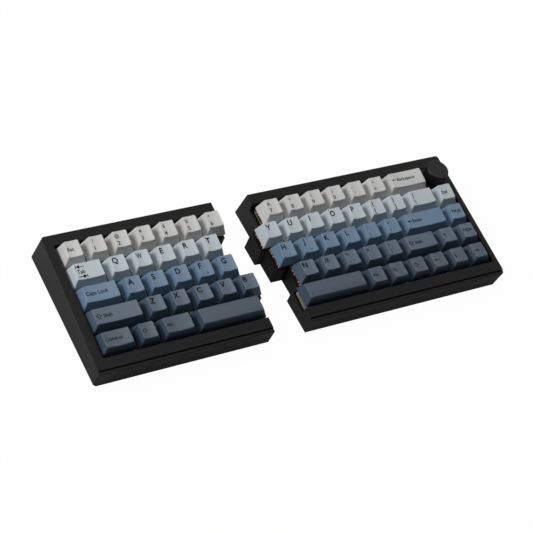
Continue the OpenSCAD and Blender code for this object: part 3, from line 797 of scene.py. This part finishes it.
def ink_text(body, size, weight):
    """Plain lettering as a flat mesh."""
    deselect()
    bpy.ops.object.text_add()
    obj = bpy.context.object
    obj.data.body = body
    obj.data.size = size
    obj.data.offset = size * weight
    obj.data.resolution_u = 4
    bpy.ops.object.convert(target="MESH")
    return obj


def ink_letter(letter):
    """One bold letter, no wider than the widest; the letter M is a W turned over."""
    dense = letter in "MW"
    sizes = legends()
    obj = ink_text("W" if dense else letter, sizes.letter, sizes.medium if dense else sizes.bold)
    xs = [v.co.x for v in obj.data.vertices]
    obj.scale.x = min(1.0, sizes.widest / (max(xs) - min(xs)))
    obj.rotation_euler.z = math.pi if letter == "M" else 0.0
    apply_place(obj)
    return obj


def ink_pair(upper, lower, upper_size, weight):
    """A sign above a digit or another sign, both set on the sheet's middle line."""
    sizes = legends()
    parts = []
    for text, size, y in ((upper, upper_size, sizes.pair_step), (lower, sizes.pair, 0.0)):
        obj = ink_text(text, size, weight)
        xs = [v.co.x for v in obj.data.vertices]
        parts.append(move(obj, -(min(xs) + max(xs)) / 2, y))
    return join(parts)


def ink_bar(x_low, y_low, x_high, y_high):
    """Straight stroke of a mark."""
    deselect()
    middle = ((x_low + x_high) / 2, (y_low + y_high) / 2, 0)
    bpy.ops.mesh.primitive_plane_add(size=1, location=middle)
    obj = bpy.context.object
    obj.scale = (x_high - x_low, y_high - y_low, 1)
    apply_place(obj)
    return obj


def ink_head(x_tip, x_base, half, y=0.0):
    """Pointed head of an arrow: a square with one side drawn to a point."""
    obj = ink_bar(min(x_tip, x_base), y - half, max(x_tip, x_base), y + half)
    pick(obj, verts=lambda v: abs(v.co.x - x_tip) < abs(v.co.x - x_base))
    bpy.ops.mesh.merge(type="CENTER")
    leave_edit()
    return obj


def ink_arrow(long, stroke, way=-1, y=0.0):
    """Arrow along x, pointing left or right."""
    tip, tail = way * long / 2, -way * long / 2
    base = tip - way * long * HEAD_LONG
    half = stroke / 2
    return [ink_head(tip, base, long * HEAD_HALF, y),
            ink_bar(min(base, tail), y - half, max(base, tail), y + half)]


def ink_frame(obj, stroke):
    """Leaves only the outline of a flat shape."""
    pick(obj, faces=lambda f: True)
    bpy.ops.mesh.inset(thickness=stroke)
    bpy.ops.mesh.delete(type="FACE")
    leave_edit()
    return obj


def move(obj, x, y=0.0):
    """Shifts a flat legend part on its sheet."""
    obj.data.transform(Matrix.Translation((x, y, 0)))
    return obj


def ink_word(text):
    """A word with its middle line on the sheet's x axis and its left edge at the origin."""
    obj = ink_text(text, legends().word, legends().medium)
    left = min(v.co.x for v in obj.data.vertices)
    return move(obj, -left, -WORD_MIDDLE * legends().word)


def ink_mark(kind):
    """Arrow marks, words with their arrows and the plain diamond as flat meshes."""
    long, stroke = legends().mark, legends().stroke
    if kind == "diamond":
        half = long * DIAMOND_HALF
        obj = ink_frame(ink_bar(-half, -half, half, half), stroke)
        obj.rotation_euler.z = math.pi / 4
    elif kind == "tab":
        step = TAB_STEP * legends().word
        wide = TAB_WIDE * long
        end, half = wide / 2, HEAD_HALF * long
        stops = [ink_bar(-end - stroke, step - half, -end, step + half),
                 ink_bar(end, -step - half, end + stroke, -step + half)]
        arrows = ink_arrow(wide, stroke, -1, step) + ink_arrow(wide, stroke, 1, -step)
        obj = join(arrows + stops + [move(ink_word("Tab"), -end)])
    elif kind == "shift":
        arrow = ink_outline_arrow(long, stroke)
        obj = join([arrow, move(ink_word("Shift"), SHIFT_WORD * long)])
    elif kind in ARROW_WORDS:
        arrow = ink_arrow(LINE_ARROW * long, stroke)
        obj = join(arrow + [move(ink_word(ARROW_WORDS[kind]), LINE_WORD * long)])
    else:
        obj = join(ink_arrow(long, stroke))
        obj.rotation_euler.z = math.pi * ARROW_TURNS[kind]
    apply_place(obj)
    return obj


def ink_outline_arrow(long, stroke):
    """Broad arrow that points up, as an outline: a disc drawn into the arrow's corners."""
    head, stem, low = BROAD_HEAD * long, BROAD_STEM * long, BROAD_LOW * long
    corners = ((0, BROAD_TIP * long), (-head, 0), (-stem, 0), (-stem, low), (stem, low),
               (stem, 0), (head, 0))
    deselect()
    bpy.ops.mesh.primitive_circle_add(vertices=len(corners), radius=BROAD_DISC * long,
                                      fill_type="NGON")
    obj = bpy.context.object
    starts = [v.co.copy() for v in obj.data.vertices]
    for i, (x, y) in enumerate(corners):
        pick(obj, verts=lambda v: v.index == i)
        bpy.ops.transform.translate(value=(x - starts[i].x, y - starts[i].y, 0))
    return ink_frame(obj, stroke)


def legend_sheet(kind, text):
    """Flat legend, its place from the top's left and back, and whether from its left edge."""
    sizes = legends()
    if kind == LETTER:
        return ink_letter(text), sizes.letter_place, True
    if kind == PAIR:
        return ink_pair(*text.split("\n"), sizes.sign, sizes.fine), sizes.pair_place, False
    if kind == SIGNS:
        return ink_pair(*text.split("\n"), sizes.pair, sizes.bold), sizes.pair_place, False
    if kind == WORD:
        return ink_text(text, sizes.word, sizes.medium), sizes.word_place, True
    return ink_mark(text), sizes.word_place, True


class KEYBOARD_OT_legends(KeyboardOperator):
    """Plain letters, digits and arrow marks on the caps"""
    bl_idname = "keyboard.legends"
    bl_label = "Legends"

    def execute(self, context):
        ink = moulded_plastic("legend_ink", colours().ink, grain=3000.0, depth=0.01 * MM,
                              rough=0.8, specular=0.05)
        for i, key in enumerate(key_places()):
            kind, text = key.legend
            if kind == BARE:
                continue
            node = key.node
            obj, place, from_left = legend_sheet(kind, text)
            obj.name = f"legend_{i:02d}_{node}"
            self.place(obj, key, place, from_left)
            self.lay(obj, context.scene.objects[f"cap_{i:02d}_{node}"])
            paint(obj, ink)
            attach(obj, node)
        return {"FINISHED"}

    def place(self, obj, key, place, from_left):
        """Moves a flat legend over its cap's top."""
        xs = [v.co.x for v in obj.data.vertices]
        ys = [v.co.y for v in obj.data.vertices]
        across = min(xs) if from_left else (min(xs) + max(xs)) / 2
        along = (min(ys) + max(ys)) / 2
        middle, _, half = top_middle(key.row)
        left = -key.units * caps().pitch / 2 + caps().gap / 2 + caps().side_inset
        back = middle.y + half
        over = caps().rest + middle.z + 2 * caps().dish
        obj.data.transform(Matrix.Translation((left + place[0] - across, back - place[1] - along,
                                               over)))
        obj.matrix_world = key.matrix

    def lay(self, obj, cap):
        """Lays a legend on its cap and gives it the thickness of ink."""
        pick(obj, verts=lambda v: True)
        bpy.ops.mesh.remove_doubles(threshold=WELD)
        leave_edit()
        apply_modifier(obj, "SHRINKWRAP", target=cap, wrap_method="PROJECT", use_project_z=True,
                       use_negative_direction=True, use_positive_direction=False,
                       offset=legends().lift)
        apply_modifier(obj, "SOLIDIFY", thickness=legends().thick, offset=1.0)
        apply_place(obj)


# Rounding of a homing bar as a share of its width
HOMING_ROUND = 0.48


class KEYBOARD_OT_homing_bars(KeyboardOperator):
    """Raised bars on the two homing keys"""
    bl_idname = "keyboard.homing_bars"
    bl_label = "Homing bars"

    def execute(self, context):
        sizes = caps()
        bar = block("bar", (sizes.homing_length, sizes.homing_width, 2 * sizes.homing_rise),
                    (0, 0, 0))
        apply_modifier(bar, "BEVEL", width=HOMING_ROUND * sizes.homing_width, segments=4,
                       limit_method="ANGLE", use_clamp_overlap=True)
        smooth(bar)
        finish = bpy.data.materials["cap_plastic_row_3"]
        for key in key_places():
            node = key.node
            if node in HOMING_NODES:
                middle, slope, _ = top_middle(key.row)
                drop = (sizes.homing_place - middle.y) * math.tan(slope)
                level = sizes.rest + middle.z + drop - sizes.dish
                seat = Matrix.Translation((0, sizes.homing_place, level))
                obj = copy_to(bar, f"homing_bar_{node}",
                              key.matrix @ seat @ Matrix.Rotation(slope, 4, "X"))
                paint(obj, finish)
                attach(obj, node)
        discard([bar])
        return {"FINISHED"}


# Case edges: what counts as one flat face, as a fold, as the same level, as the foot, as short
FLAT_ANGLE = math.radians(0.5)
FOLD_ANGLE = math.radians(35)
SAME_LEVEL = 0.05 * MM
FOOT_LEVEL = 1.5 * MM
SHORT_EDGE = 1.2 * MM


class KEYBOARD_OT_cases(KeyboardOperator):
    """Case halves with softened edges"""
    bl_idname = "keyboard.cases"
    bl_label = "Cases"

    def execute(self, context):
        looks = case_looks()
        finish = moulded_plastic("case_plastic", looks.colour, grain=2600.0, depth=0.03 * MM,
                                 rough=0.52, spread=0.06, specular=0.13, strength=0.3)
        for side in SIDES:
            into_plate = plate_matrix(side).inverted()
            for kind in ("bottom_case", "top_case"):
                node = f"{side}_{kind}"
                obj = copy_to(context.scene.objects[node], f"{node}_finished", Matrix())
                self.merge(obj)
                self.soften(obj, kind, into_plate, looks)
                smooth(obj)
                flatten(obj)
                paint(obj, finish)
                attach(obj, f"{side}_half")
                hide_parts(node)
        return {"FINISHED"}

    def merge(self, obj):
        """Joins the loose triangles into flat faces."""
        pick(obj, verts=lambda v: True)
        bpy.ops.mesh.remove_doubles(threshold=WELD)
        bpy.ops.mesh.select_all(action="SELECT")
        bpy.ops.mesh.dissolve_limited(angle_limit=FLAT_ANGLE)
        leave_edit()

    def soften(self, obj, kind, into_plate, looks):
        """Rounds the edges that a hand or the eye meets."""
        def shows(edge):
            if len(edge.link_faces) != 2 or edge.calc_face_angle_signed() < FOLD_ANGLE:
                return False
            ends = [into_plate @ v.co for v in edge.verts]
            if kind == "top_case":
                return min(e.z for e in ends) > looks.bezel - SAME_LEVEL
            if max(v.co.z for v in edge.verts) < FOOT_LEVEL:
                return edge.calc_length() > SHORT_EDGE
            level = min(e.z for e in ends)
            on_lip = abs(level - looks.lip) < SAME_LEVEL
            return on_lip and max(e.y for e in ends) < looks.lip_back
        pick(obj, edges=shows)
        bpy.ops.mesh.bevel(offset=looks.edge, segments=3, affect="EDGES")
        leave_edit()


KNOB_SIDES = 128
HOLE_SIDES = 64
# Depth of the step round the knob's top, and how far the hub ends above the skirt
KNOB_STEP = 0.1 * MM


class KEYBOARD_OT_knob(KeyboardOperator):
    """Plain turned knob with a soft rim"""
    bl_idname = "keyboard.knob"
    bl_label = "Knob"

    def execute(self, context):
        looks = case_looks()
        radius, tall = looks.knob_width / 2, looks.knob_height
        deep = tall - looks.knob_roof
        obj = drum(KNOB_SIDES, radius, tall, (0, 0, tall / 2))
        obj.name = "knob_finished"
        apply_place(obj)
        pick(obj, faces=faces_up)
        bpy.ops.mesh.bevel(offset=looks.knob_bevel, segments=4, affect="EDGES")
        pick(obj, faces=lambda f: faces_up(f, LEVEL))
        bpy.ops.mesh.inset(thickness=looks.knob_rim)
        bpy.ops.mesh.inset(thickness=2 * KNOB_STEP, depth=-KNOB_STEP)
        pick(obj, faces=faces_down)
        bpy.ops.mesh.inset(thickness=looks.knob_wall)
        bpy.ops.mesh.inset(thickness=0, depth=-deep)
        pick(obj, faces=lambda f: faces_down(f) and len(f.verts) == KNOB_SIDES)
        bpy.ops.mesh.inset(thickness=radius - looks.knob_wall - looks.knob_hub / 2)
        bpy.ops.mesh.inset(thickness=0, depth=deep - KNOB_STEP)
        leave_edit()
        smooth(obj)
        flatten(obj)
        turn = joint("knob_turn")
        lean = plate_matrix("right").to_3x3().to_4x4()
        obj.data.transform(Matrix.Translation(turn["pos_m"]) @ lean)
        paint(obj, moulded_plastic("knob_plastic", looks.knob, grain=2600.0, depth=0.03 * MM,
                                   rough=0.4, spread=0.06, specular=0.2, strength=0.3))
        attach(obj, "knob")
        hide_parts("control_knob")
        return {"FINISHED"}


class KEYBOARD_OT_knob_cover(KeyboardOperator):
    """Black cover that closes the well under the knob"""
    bl_idname = "keyboard.knob_cover"
    bl_label = "Knob cover"

    def execute(self, context):
        looks, pitch = case_looks(), caps().pitch
        right, back = looks.cover_margin
        low, high = looks.cover_levels
        obj = block("knob_cover", (pitch + right, pitch + back, high - low),
                    (right / 2, back / 2, (low + high) / 2))
        cut(obj, drum(HOLE_SIDES, looks.cover_hole / 2, 4 * high))
        apply_modifier(obj, "BEVEL", width=looks.edge, segments=3, limit_method="ANGLE",
                       angle_limit=SHARP)
        smooth(obj)
        flatten(obj)
        seat = Matrix.Translation((KNOB_UNITS * pitch, -KNOB_ROW * pitch, 0))
        obj.data.transform(plate_matrix("right") @ seat)
        paint(obj, bpy.data.materials["case_plastic"])
        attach(obj, "right_half")
        return {"FINISHED"}


# Screw head: its rounding as a share of its height, its cross as shares of radius and height
SCREW_SIDES = 32
SCREW_ROUND = 0.3
CROSS_LONG, CROSS_THIN, CROSS_DEEP = 1.1, 0.3, 1.2


class KEYBOARD_OT_screws(KeyboardOperator):
    """Cross-head screws in the pockets under both halves"""
    bl_idname = "keyboard.screws"
    bl_label = "Screws"

    def execute(self, context):
        looks = case_looks()
        screw = self.model(looks)
        finish = brushed_metal("screw_steel", looks.steel)
        for side, places in SCREWS.items():
            plate = plate_matrix(side)
            lean = plate.to_euler().x
            for i, (units, row) in enumerate(places):
                seat = plate @ Vector((units * caps().pitch, -row * caps().pitch, 0))
                seat.y += (seat.z - looks.underside) * math.sin(lean)
                seat.z = looks.underside + looks.screw_sunk
                obj = copy_to(screw, f"screw_{side}_{i}", Matrix.Translation(seat))
                paint(obj, finish)
                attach(obj, f"{side}_half")
        discard([screw])
        return {"FINISHED"}

    def model(self, looks):
        """Flat round head with a cross cut into its lower face."""
        radius, tall = looks.screw_width / 2, looks.screw_height
        obj = drum(SCREW_SIDES, radius, tall, (0, 0, tall / 2))
        apply_place(obj)
        pick(obj, faces=faces_down)
        bpy.ops.mesh.bevel(offset=SCREW_ROUND * tall, segments=3, affect="EDGES")
        leave_edit()
        for across, deep in ((CROSS_LONG, CROSS_THIN), (CROSS_THIN, CROSS_LONG)):
            cut(obj, block("slot", (across * radius, deep * radius, CROSS_DEEP * tall),
                           (0, 0, 0)))
        smooth(obj)
        return obj


# Rounding of a tongue as a share of its thickness
TONGUE_ROUND = 0.3


class KEYBOARD_OT_sockets(KeyboardOperator):
    """Contact tongues inside the two sockets"""
    bl_idname = "keyboard.sockets"
    bl_label = "Sockets"

    def execute(self, context):
        looks = case_looks()
        wide, deep, thick = looks.tongue
        tongue = block("tongue", (wide, deep, thick), (0, 0, 0))
        apply_modifier(tongue, "BEVEL", width=TONGUE_ROUND * thick, segments=3,
                       limit_method="ANGLE")
        smooth(tongue)
        finish = moulded_plastic("tongue_plastic", looks.rubber, grain=2400.0, depth=0.02 * MM,
                                 rough=0.4)
        for side, units in SOCKETS.items():
            seat = Matrix.Translation((units * caps().pitch, *looks.tongue_place))
            obj = copy_to(tongue, f"socket_tongue_{side}", plate_matrix(side) @ seat)
            paint(obj, finish)
            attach(obj, f"{side}_half")
        discard([tongue])
        return {"FINISHED"}


# Foot: rounding and hollow as shares of its height, ring and step as shares of its radius
FOOT_SIDES = 64
FOOT_ROUND, FOOT_HOLLOW = 0.25, 0.15
FOOT_RING, FOOT_STEP = 0.3, 0.05


class KEYBOARD_OT_feet(KeyboardOperator):
    """Rubber feet with softened rims"""
    bl_idname = "keyboard.feet"
    bl_label = "Feet"

    def execute(self, context):
        looks = case_looks()
        radius = looks.foot_width / 2
        finish = moulded_plastic("foot_rubber", looks.rubber, grain=1800.0, depth=0.06 * MM,
                                 rough=0.8, spread=0.08, specular=0.25)
        for side in SIDES:
            node = f"{side}_rubber_feet"
            low, high = (Vector(c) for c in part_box(node))
            foot = self.model(radius, high.z - low.z)
            places = [(x, y) for x in (low.x + radius, high.x - radius)
                      for y in (low.y + radius, high.y - radius)]
            for i, (x, y) in enumerate(places):
                obj = copy_to(foot, f"foot_{side}_{i}", Matrix.Translation((x, y, low.z)))
                paint(obj, finish)
                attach(obj, f"{side}_half")
                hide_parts(node)
            discard([foot])
        return {"FINISHED"}

    def model(self, radius, tall):
        """Round pad with a rounded lower rim and a shallow hollow in its face."""
        obj = drum(FOOT_SIDES, radius, tall, (0, 0, tall / 2))
        apply_place(obj)
        pick(obj, faces=faces_down)
        bpy.ops.mesh.bevel(offset=FOOT_ROUND * tall, segments=4, affect="EDGES")
        pick(obj, faces=lambda f: faces_down(f, LEVEL))
        bpy.ops.mesh.inset(thickness=FOOT_RING * radius)
        bpy.ops.mesh.inset(thickness=FOOT_STEP * radius, depth=-FOOT_HOLLOW * tall)
        leave_edit()
        smooth(obj)
        return obj


HOUSING_POST_SIDES = 16
# Rounding of a clip as a share of its width
CLIP_ROUND = 0.3


class KEYBOARD_OT_housings(KeyboardOperator):
    """Switch housings, their shell dark red as painted shade, with the pale clips that hold them
    in the plate
    """
    bl_idname = "keyboard.housings"
    bl_label = "Switch housings"

    def execute(self, context):
        looks, sizes = case_looks(), context.scene.keyboard_housings
        models = {"shell": self.model_shell(sizes), "clips": self.model_clips(sizes)}
        glossy = {"grain": 2400.0, "depth": 0.02 * MM, "rough": 0.35, "spread": 0.05,
                  "specular": 0.4}
        # The shell's finish is painted shade: dark red for the pale pink housing plastic in the
        # shade under the caps; the clips keep the pale pink
        finishes = {"shell": moulded_plastic("housing_plastic", looks.housing, **glossy),
                    "clips": moulded_plastic("clip_plastic", looks.clip, **glossy)}
        for side in SIDES:
            places = [key.matrix for key in key_places() if key.side == side]
            for kind, model in models.items():
                obj = join([copy_to(model, f"housing_{kind}_{side}", p) for p in places])
                paint(obj, finishes[kind])
                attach(obj, f"{side}_half")
                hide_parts(f"{side}_switch_housings")
        discard(models.values())
        return {"FINISHED"}

    def model_shell(self, sizes):
        """Body through the plate, flange, tapered top with the slider's shaft, and post."""
        low, flange, top = sizes.low, sizes.flange_height, sizes.top
        obj = block("shell", (sizes.body, sizes.body, top - flange), (0, 0, (top + flange) / 2))
        pick(obj, faces=faces_up)
        taper = [size / sizes.body for size in sizes.top_size]
        bpy.ops.transform.resize(value=(*taper, 1), center_override=(0, 0, top))
        pick(obj, edges=lambda e: max(v.co.z for v in e.verts) > top - MM)
        bpy.ops.mesh.bevel(offset=sizes.round, segments=2, affect="EDGES")
        leave_edit()
        seam, foot = flange / 2, sizes.cavity_low
        cut(obj, block("flange", (sizes.flange, sizes.flange, flange), (0, 0, seam)), "UNION")
        cut(obj, block("body", (sizes.body, sizes.body, seam - low), (0, 0, (seam + low) / 2)),
            "UNION")
        post = drum(HOUSING_POST_SIDES, sizes.post / 2, 2 * sizes.post_length, (0, 0, low))
        cut(obj, post, "UNION")
        for wide, deep, head in ((sizes.cavity, sizes.cavity, top - sizes.roof),
                                 (*sizes.shaft, 2 * top)):
            cut(obj, block("hollow", (wide, deep, head - foot), (0, 0, (head + foot) / 2)))
        smooth(obj)
        return obj

    def model_clips(self, sizes):
        """Two pairs of small clips on the left and right edges of the flange."""
        wide, deep, tall = sizes.clip
        clip = block("clip", (wide, deep, tall),
                     (sizes.clip_out, 0, sizes.flange_height + tall / 3))
        pick(clip, faces=faces_up)
        bpy.ops.mesh.bevel(offset=CLIP_ROUND * wide, segments=2, affect="EDGES")
        leave_edit()
        copies = [copy_to(clip, "clip",
                          Matrix.Rotation(turn, 4, "Z") @ Matrix.Translation((0, y, 0)))
                  for turn in (0, math.pi) for step in sizes.clip_steps for y in (-step, step)]
        discard([clip])
        return join(copies)


class KEYBOARD_OT_inner_parts(KeyboardOperator):
    """Finishes of the plates, boards, stabilizers and encoder"""
    bl_idname = "keyboard.inner_parts"
    bl_label = "Inner parts"

    def execute(self, context):
        looks = case_looks()
        plate = moulded_plastic("plate_paint", looks.plate, grain=3200.0, depth=0.015 * MM,
                                rough=0.45, spread=0.03)
        holder = moulded_plastic("stabilizer_plastic", looks.rubber, grain=2400.0,
                                 depth=0.03 * MM, rough=0.5)
        steel = brushed_metal("encoder_steel", looks.steel)
        for side in SIDES:
            nodes = {"switch_plate": plate, "stabilizers": holder,
                     "circuit_board": self.board_finish(side, looks)}
            for node, finish in nodes.items():
                paint(context.scene.objects[f"{side}_{node}"], finish)
        for node in ("rotary_encoder", "encoder_shaft"):
            paint(context.scene.objects[node], steel)
        return {"FINISHED"}

    def board_finish(self, side, looks):
        """Solder mask on the board, bare metal above it and black moulding below it."""
        material, nodes, links, shader, place = new_finish(f"board_{side}")
        turn = nodes.new("ShaderNodeMapping")
        turn.vector_type = "TEXTURE"
        plate = plate_matrix(side)
        turn.inputs["Location"].default_value = plate.translation
        turn.inputs["Rotation"].default_value = plate.to_euler()
        links.new(place, turn.inputs["Vector"])
        axes = nodes.new("ShaderNodeSeparateXYZ")
        links.new(turn.outputs["Vector"], axes.inputs["Vector"])
        weave = noise(nodes, links, place, BOARD_WEAVE)
        vary_roughness(nodes, links, shader, weave, *BOARD_ROUGH)
        raise_grain(nodes, links, shader, weave, *FINE_BUMP)
        above = nodes.new("ShaderNodeMath")
        above.operation = "GREATER_THAN"
        above.inputs[1].default_value = looks.board_top
        below = nodes.new("ShaderNodeMath")
        below.operation = "LESS_THAN"
        below.inputs[1].default_value = looks.board_low
        tone = nodes.new("ShaderNodeMix")
        tone.data_type = "RGBA"
        tone.inputs["A"].default_value = tuple(looks.board) + (1,)
        tone.inputs["B"].default_value = tuple(looks.steel) + (1,)
        dark = nodes.new("ShaderNodeMix")
        dark.data_type = "RGBA"
        dark.inputs["B"].default_value = tuple(looks.rubber) + (1,)
        for test in (above, below):
            links.new(axes.outputs["Z"], test.inputs[0])
        links.new(above.outputs["Value"], tone.inputs["Factor"])
        links.new(above.outputs["Value"], shader.inputs["Metallic"])
        links.new(below.outputs["Value"], dark.inputs["Factor"])
        links.new(tone.outputs["Result"], dark.inputs["A"])
        links.new(dark.outputs["Result"], shader.inputs["Base Color"])
        return material


FLOOR_SIZE = 6.0
FLOOR_FIBRE, FLOOR_TONE, FLOOR_ROUGH = 300.0, 0.01, 0.9
SENSOR_MM = 36.0


class KEYBOARD_OT_stage(KeyboardOperator):
    """Pale floor, soft light and the camera"""
    bl_idname = "keyboard.stage"
    bl_label = "Stage"

    def execute(self, context):
        looks = context.scene.keyboard_stage
        scene = context.scene
        scene.view_settings.view_transform = "Standard"
        self.make_floor(looks)
        self.make_lights(looks)
        self.make_world(scene, looks)
        self.make_camera(scene, looks)
        return {"FINISHED"}

    def make_floor(self, looks):
        """Paper floor, plain white as seen."""
        deselect()
        bpy.ops.mesh.primitive_plane_add(size=FLOOR_SIZE)
        floor = bpy.context.object
        floor.name = "floor"
        material, nodes, links, shader, place = new_finish("floor_paper")
        fibre = noise(nodes, links, place, FLOOR_FIBRE)
        vary_colour(nodes, links, shader, fibre, looks.floor, FLOOR_TONE)
        shader.inputs["Roughness"].default_value = FLOOR_ROUGH
        shader.inputs["Specular IOR Level"].default_value = 0.0
        glow = nodes.new("ShaderNodeEmission")
        mix = nodes.new("ShaderNodeMixShader")
        links.new(self.seen_level(nodes, links, 0.0, looks.floor_seen), mix.inputs["Fac"])
        links.new(shader.outputs["BSDF"], mix.inputs[1])
        links.new(glow.outputs["Emission"], mix.inputs[2])
        links.new(mix.outputs["Shader"], nodes["Material Output"].inputs["Surface"])
        paint(floor, material)

    def make_lights(self, looks):
        """Three soft boxes, aimed at the middle of the desk."""
        for kind in ("key", "top", "edge"):
            name, place = f"{kind}_soft_box", getattr(looks, f"{kind}_place")
            lamp = bpy.data.lights.new(name, "AREA")
            lamp.size = looks.box
            lamp.energy = getattr(looks, kind)
            obj = bpy.data.objects.new(name, lamp)
            obj.location = place
            obj.rotation_euler = (-Vector(place)).to_track_quat("-Z", "Y").to_euler()
            bpy.context.scene.collection.objects.link(obj)

    def make_world(self, scene, looks):
        """Dim white surroundings that are plain white as seen."""
        world = bpy.data.worlds.new("studio")
        world.use_nodes = True
        back = world.node_tree.nodes["Background"]
        back.inputs["Color"].default_value = (1, 1, 1, 1)
        nodes, links = world.node_tree.nodes, world.node_tree.links
        level = self.seen_level(nodes, links, looks.world, looks.world_seen)
        links.new(level, back.inputs["Strength"])
        scene.world = world

    def seen_level(self, nodes, links, plain, seen):
        """A level for light, one for the camera, and one for what a mirror or glass sends on."""
        light = nodes.new("ShaderNodeLightPath")
        sent = nodes.new("ShaderNodeMath")
        sent.operation = "MAXIMUM"
        links.new(light.outputs["Is Glossy Ray"], sent.inputs[0])
        links.new(light.outputs["Is Transmission Ray"], sent.inputs[1])
        value = plain
        for source, level in ((sent.outputs["Value"], seen[1]),
                              (light.outputs["Is Camera Ray"], seen[0])):
            mix = nodes.new("ShaderNodeMix")
            links.new(source, mix.inputs["Factor"])
            mix.inputs["B"].default_value = level
            if value is plain:
                mix.inputs["A"].default_value = plain
            else:
                links.new(value, mix.inputs["A"])
            value = mix.outputs["Result"]
        return value

    def make_camera(self, scene, looks):
        """Camera that looks down on the desk from the front left, a little rolled."""
        lens = bpy.data.cameras.new("camera")
        lens.sensor_width = SENSOR_MM
        lens.lens = looks.lens
        obj = bpy.data.objects.new("camera", lens)
        view = Vector(looks.camera_aim) - Vector(looks.camera_place)
        level = view.to_track_quat("-Z", "Y").to_matrix().to_4x4()
        roll = Matrix.Rotation(looks.camera_roll, 4, "Z")
        obj.matrix_world = Matrix.Translation(looks.camera_place) @ level @ roll
        scene.collection.objects.link(obj)
        scene.camera = obj


PIECES = (KEYBOARD_OT_caps, KEYBOARD_OT_stems, KEYBOARD_OT_legends, KEYBOARD_OT_homing_bars,
          KEYBOARD_OT_cases, KEYBOARD_OT_knob, KEYBOARD_OT_knob_cover, KEYBOARD_OT_screws,
          KEYBOARD_OT_sockets, KEYBOARD_OT_feet, KEYBOARD_OT_housings, KEYBOARD_OT_inner_parts,
          KEYBOARD_OT_stage)


class KEYBOARD_PT_pieces(bpy.types.Panel):
    """Lists the keyboard's pieces"""
    bl_label = "Split Keyboard"
    bl_idname = "KEYBOARD_PT_pieces"
    bl_space_type = "VIEW_3D"
    bl_region_type = "UI"
    bl_category = "Keyboard"

    def draw(self, context):
        for piece in PIECES:
            self.layout.operator(piece.bl_idname)


SETTINGS = (("keyboard_caps", CapSizes), ("keyboard_stems", StemSizes),
            ("keyboard_housings", HousingSizes), ("keyboard_colours", CapColours),
            ("keyboard_legends", LegendSizes), ("keyboard_case", CaseLooks),
            ("keyboard_stage", StageLooks))


def register():
    for name, kind in SETTINGS:
        bpy.utils.register_class(kind)
        setattr(bpy.types.Scene, name, PointerProperty(type=kind))
    for kind in PIECES + (KEYBOARD_PT_pieces,):
        bpy.utils.register_class(kind)


def unregister():
    for kind in (KEYBOARD_PT_pieces,) + PIECES[::-1]:
        bpy.utils.unregister_class(kind)
    for name, kind in SETTINGS[::-1]:
        delattr(bpy.types.Scene, name)
        bpy.utils.unregister_class(kind)


def main():
    register()
    for piece in PIECES:
        group, name = piece.bl_idname.split(".")
        getattr(getattr(bpy.ops, group), name)()
    deselect()


if __name__ == "__main__":
    main()
